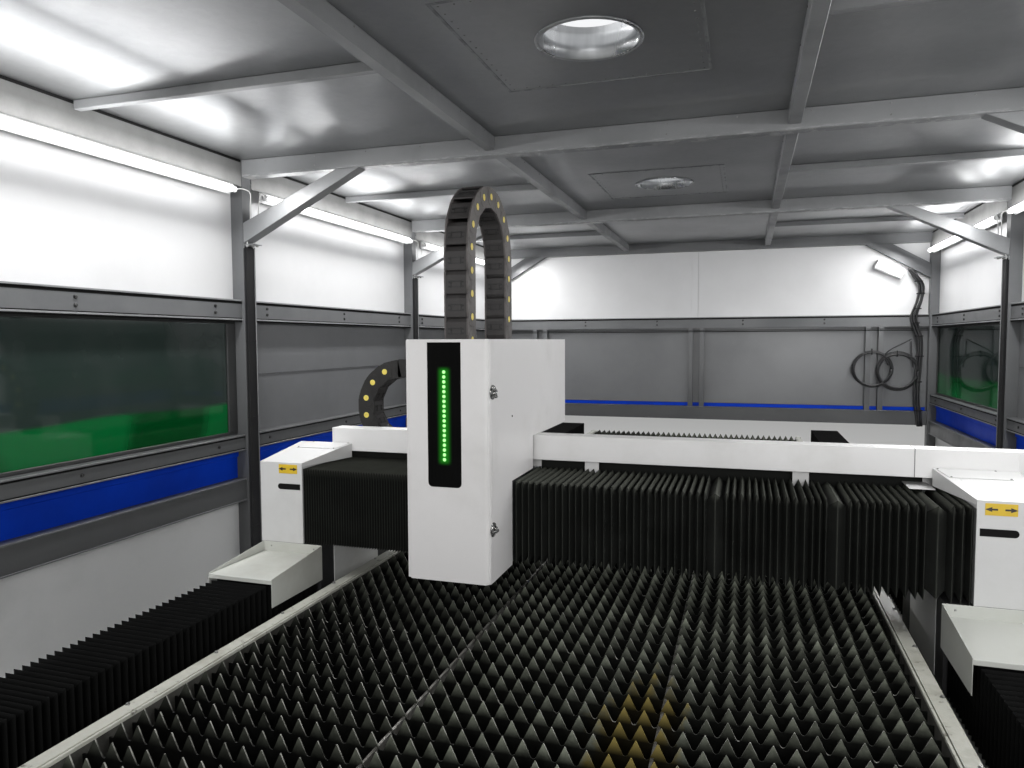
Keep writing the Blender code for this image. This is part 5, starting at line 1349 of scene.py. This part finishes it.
light_green = lit("light_green", (0.05, 0.4, 0.08, 1), green_glow, 1.05)
lens = bmesh.new()
core_layer = lens.verts.layers.float.new("core")
rows = []
for size, z, value in ((0.0070, -0.0003, 0.0), (0.0066, 0.0006, 0.1), (0.0046, 0.0012, 0.8), (0.0025, 0.0015, 1.0)):
    square = [(u / max(abs(u), abs(v)) ** 0.2, v / max(abs(u), abs(v)) ** 0.2) for u, v in rim(1.0, 16, 0.0, 0.0)]
    rows.append([lens.verts.new((size * u, size * v, z)) for u, v in square])
    for vertex in rows[-1]:
        vertex[core_layer] = value
joined_rows(lens, rows)
lens_shape = shape_of("lens", lens)
places = [((LIGHTS_X, HEAD_FRONT + 0.0002, LIGHTS_TOP - LIGHT_STEP * k), FACING["-Y"]) for k in range(19)]
fitted("indicator_lights", lens_shape, places, light_green, "door", smooth=True)
bpy.data.objects.remove(lens_shape, do_unlink=True)

fitted("head_side_screw", PAN_SCREW, [((-0.3119, -2.055, 1.512), FACING["+X"]),
                                      ((-0.6321, -2.055, 1.512), FACING["-X"])], black_screw, "head")


latch_metal = finish("latch_metal", (0.62, 0.62, 0.61), (0.010, 0.010, 0.010), (210.0, 0.47, 0.53), (0.22, 0.5), 500.0,
                     0.4, 0.0012, 0.85)
for name, z, angle, body in (("latch_upper", 1.619, 0.6, "upper_latch"), ("latch_lower", 1.128, 1.2, "lower_latch")):
    knob = bmesh.new()
    turned(knob, [(0, 0.0002), (0.026, 0.0002), (0.026, 0.0035), (0.0245, 0.0052), (0.021, 0.0060), (0.0195, 0.0046),
                  (0.017, 0.0046), (0.0155, 0.0060), (0, 0.0060)], 32)
    turn = Matrix.Rotation(angle, 4, "Z")
    bar(knob, (-0.0245, -0.0060, 0.0045), (0.0245, 0.0060, 0.0165), 0.003, turn)
    bar(knob, (-0.0065, -0.0125, 0.0045), (0.0065, 0.0125, 0.0176), 0.003, turn)
    onto_door = Matrix.Translation((-0.3119, DOOR_SEAM, z)) @ Matrix.Rotation(pi / 2, 4, "Y")
    bmesh.ops.transform(knob, matrix=onto_door, verts=knob.verts)
    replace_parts(piece_of(name + "_knob", knob, latch_metal, body), name)
optic_steel = finish("optic_steel", (0.075, 0.077, 0.080), (0.045, 0.045, 0.047), (8.0, 0.4, 0.7), (0.25, 0.4), 220.0,
                     0.15, 0.0001, 0.5)
dress(optic_steel, "laser_head")
ring, nozzle, beam_axis = bmesh.new(), bmesh.new(), (-0.472, -2.17)
turned(ring, [(0.0145, 0.925), (0.0175, 0.925), (0.0175, 0.943), (0.0145, 0.943), (0.0145, 0.925)], 28, *beam_axis)
piece_of("ceramic_ring", ring, finish("ceramic_white", (0.75, 0.73, 0.68), (0.65, 0.62, 0.56)), "laser_unit",
         True)
turned(nozzle, [(0.0008, 0.8851), (0.0052, 0.8851), (0.0140, 0.9095), (0.0150, 0.9135), (0.0150, 0.9235),
                (0.0008, 0.9235), (0.0008, 0.8851)], 24, *beam_axis)
piece_of("copper_nozzle", nozzle, finish("nozzle_copper", (0.55, 0.27, 0.13), (0.40, 0.19, 0.09), (30.0, 0.4, 0.7),
                                       (0.25, 0.4), 300.0, 0.2, 0.0001, 0.9), "laser_unit", True)


# Z chain. The same moulded chain standing up through the top of the head, arching over
# and hanging down behind the door to the laser unit.
Z_CHAIN_X, Z_FRONT_Y, Z_REAR_Y, Z_ARCH, Z_BEND = -0.51, -2.085, -1.63, 2.158, 0.2275
Z_ACROSS = (-1, 0, 0)
for name, replaced, y, low, links, pitch, moving, start, end in (
        ("z_chain_back", "z_chain_rear", Z_REAR_Y, (1.8066, Z_ARCH), 4, 0.0878, "z_chain_loop", 1.8066, Z_ARCH),
        ("z_chain_drop", "z_chain_front", Z_FRONT_Y, (Z_ARCH, 1.6260), 6, 0.0887, "laser_unit", 2 * Z_ARCH - 1.6166,
         1.6166)):
    run = straight((Z_CHAIN_X, y, low[0]), (Z_CHAIN_X, y, low[1]), links)
    for piece in chain_run(name, run, pitch, Z_ACROSS, lit_side_plates, None, replaced):
        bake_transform(piece)
spots, chord = curved((Z_CHAIN_X, (Z_FRONT_Y + Z_REAR_Y) / 2, Z_ARCH), Z_BEND, 0.0, pi, 8, "YZ")
chain_run("z_chain_top", spots, chord, Z_ACROSS, lit_side_plates, "z_chain_loop", "z_chain_arch")
for shape in (HEX_BOLT, PAN_SCREW, pin_cap, cap_rim):
    bpy.data.objects.remove(shape, do_unlink=True)
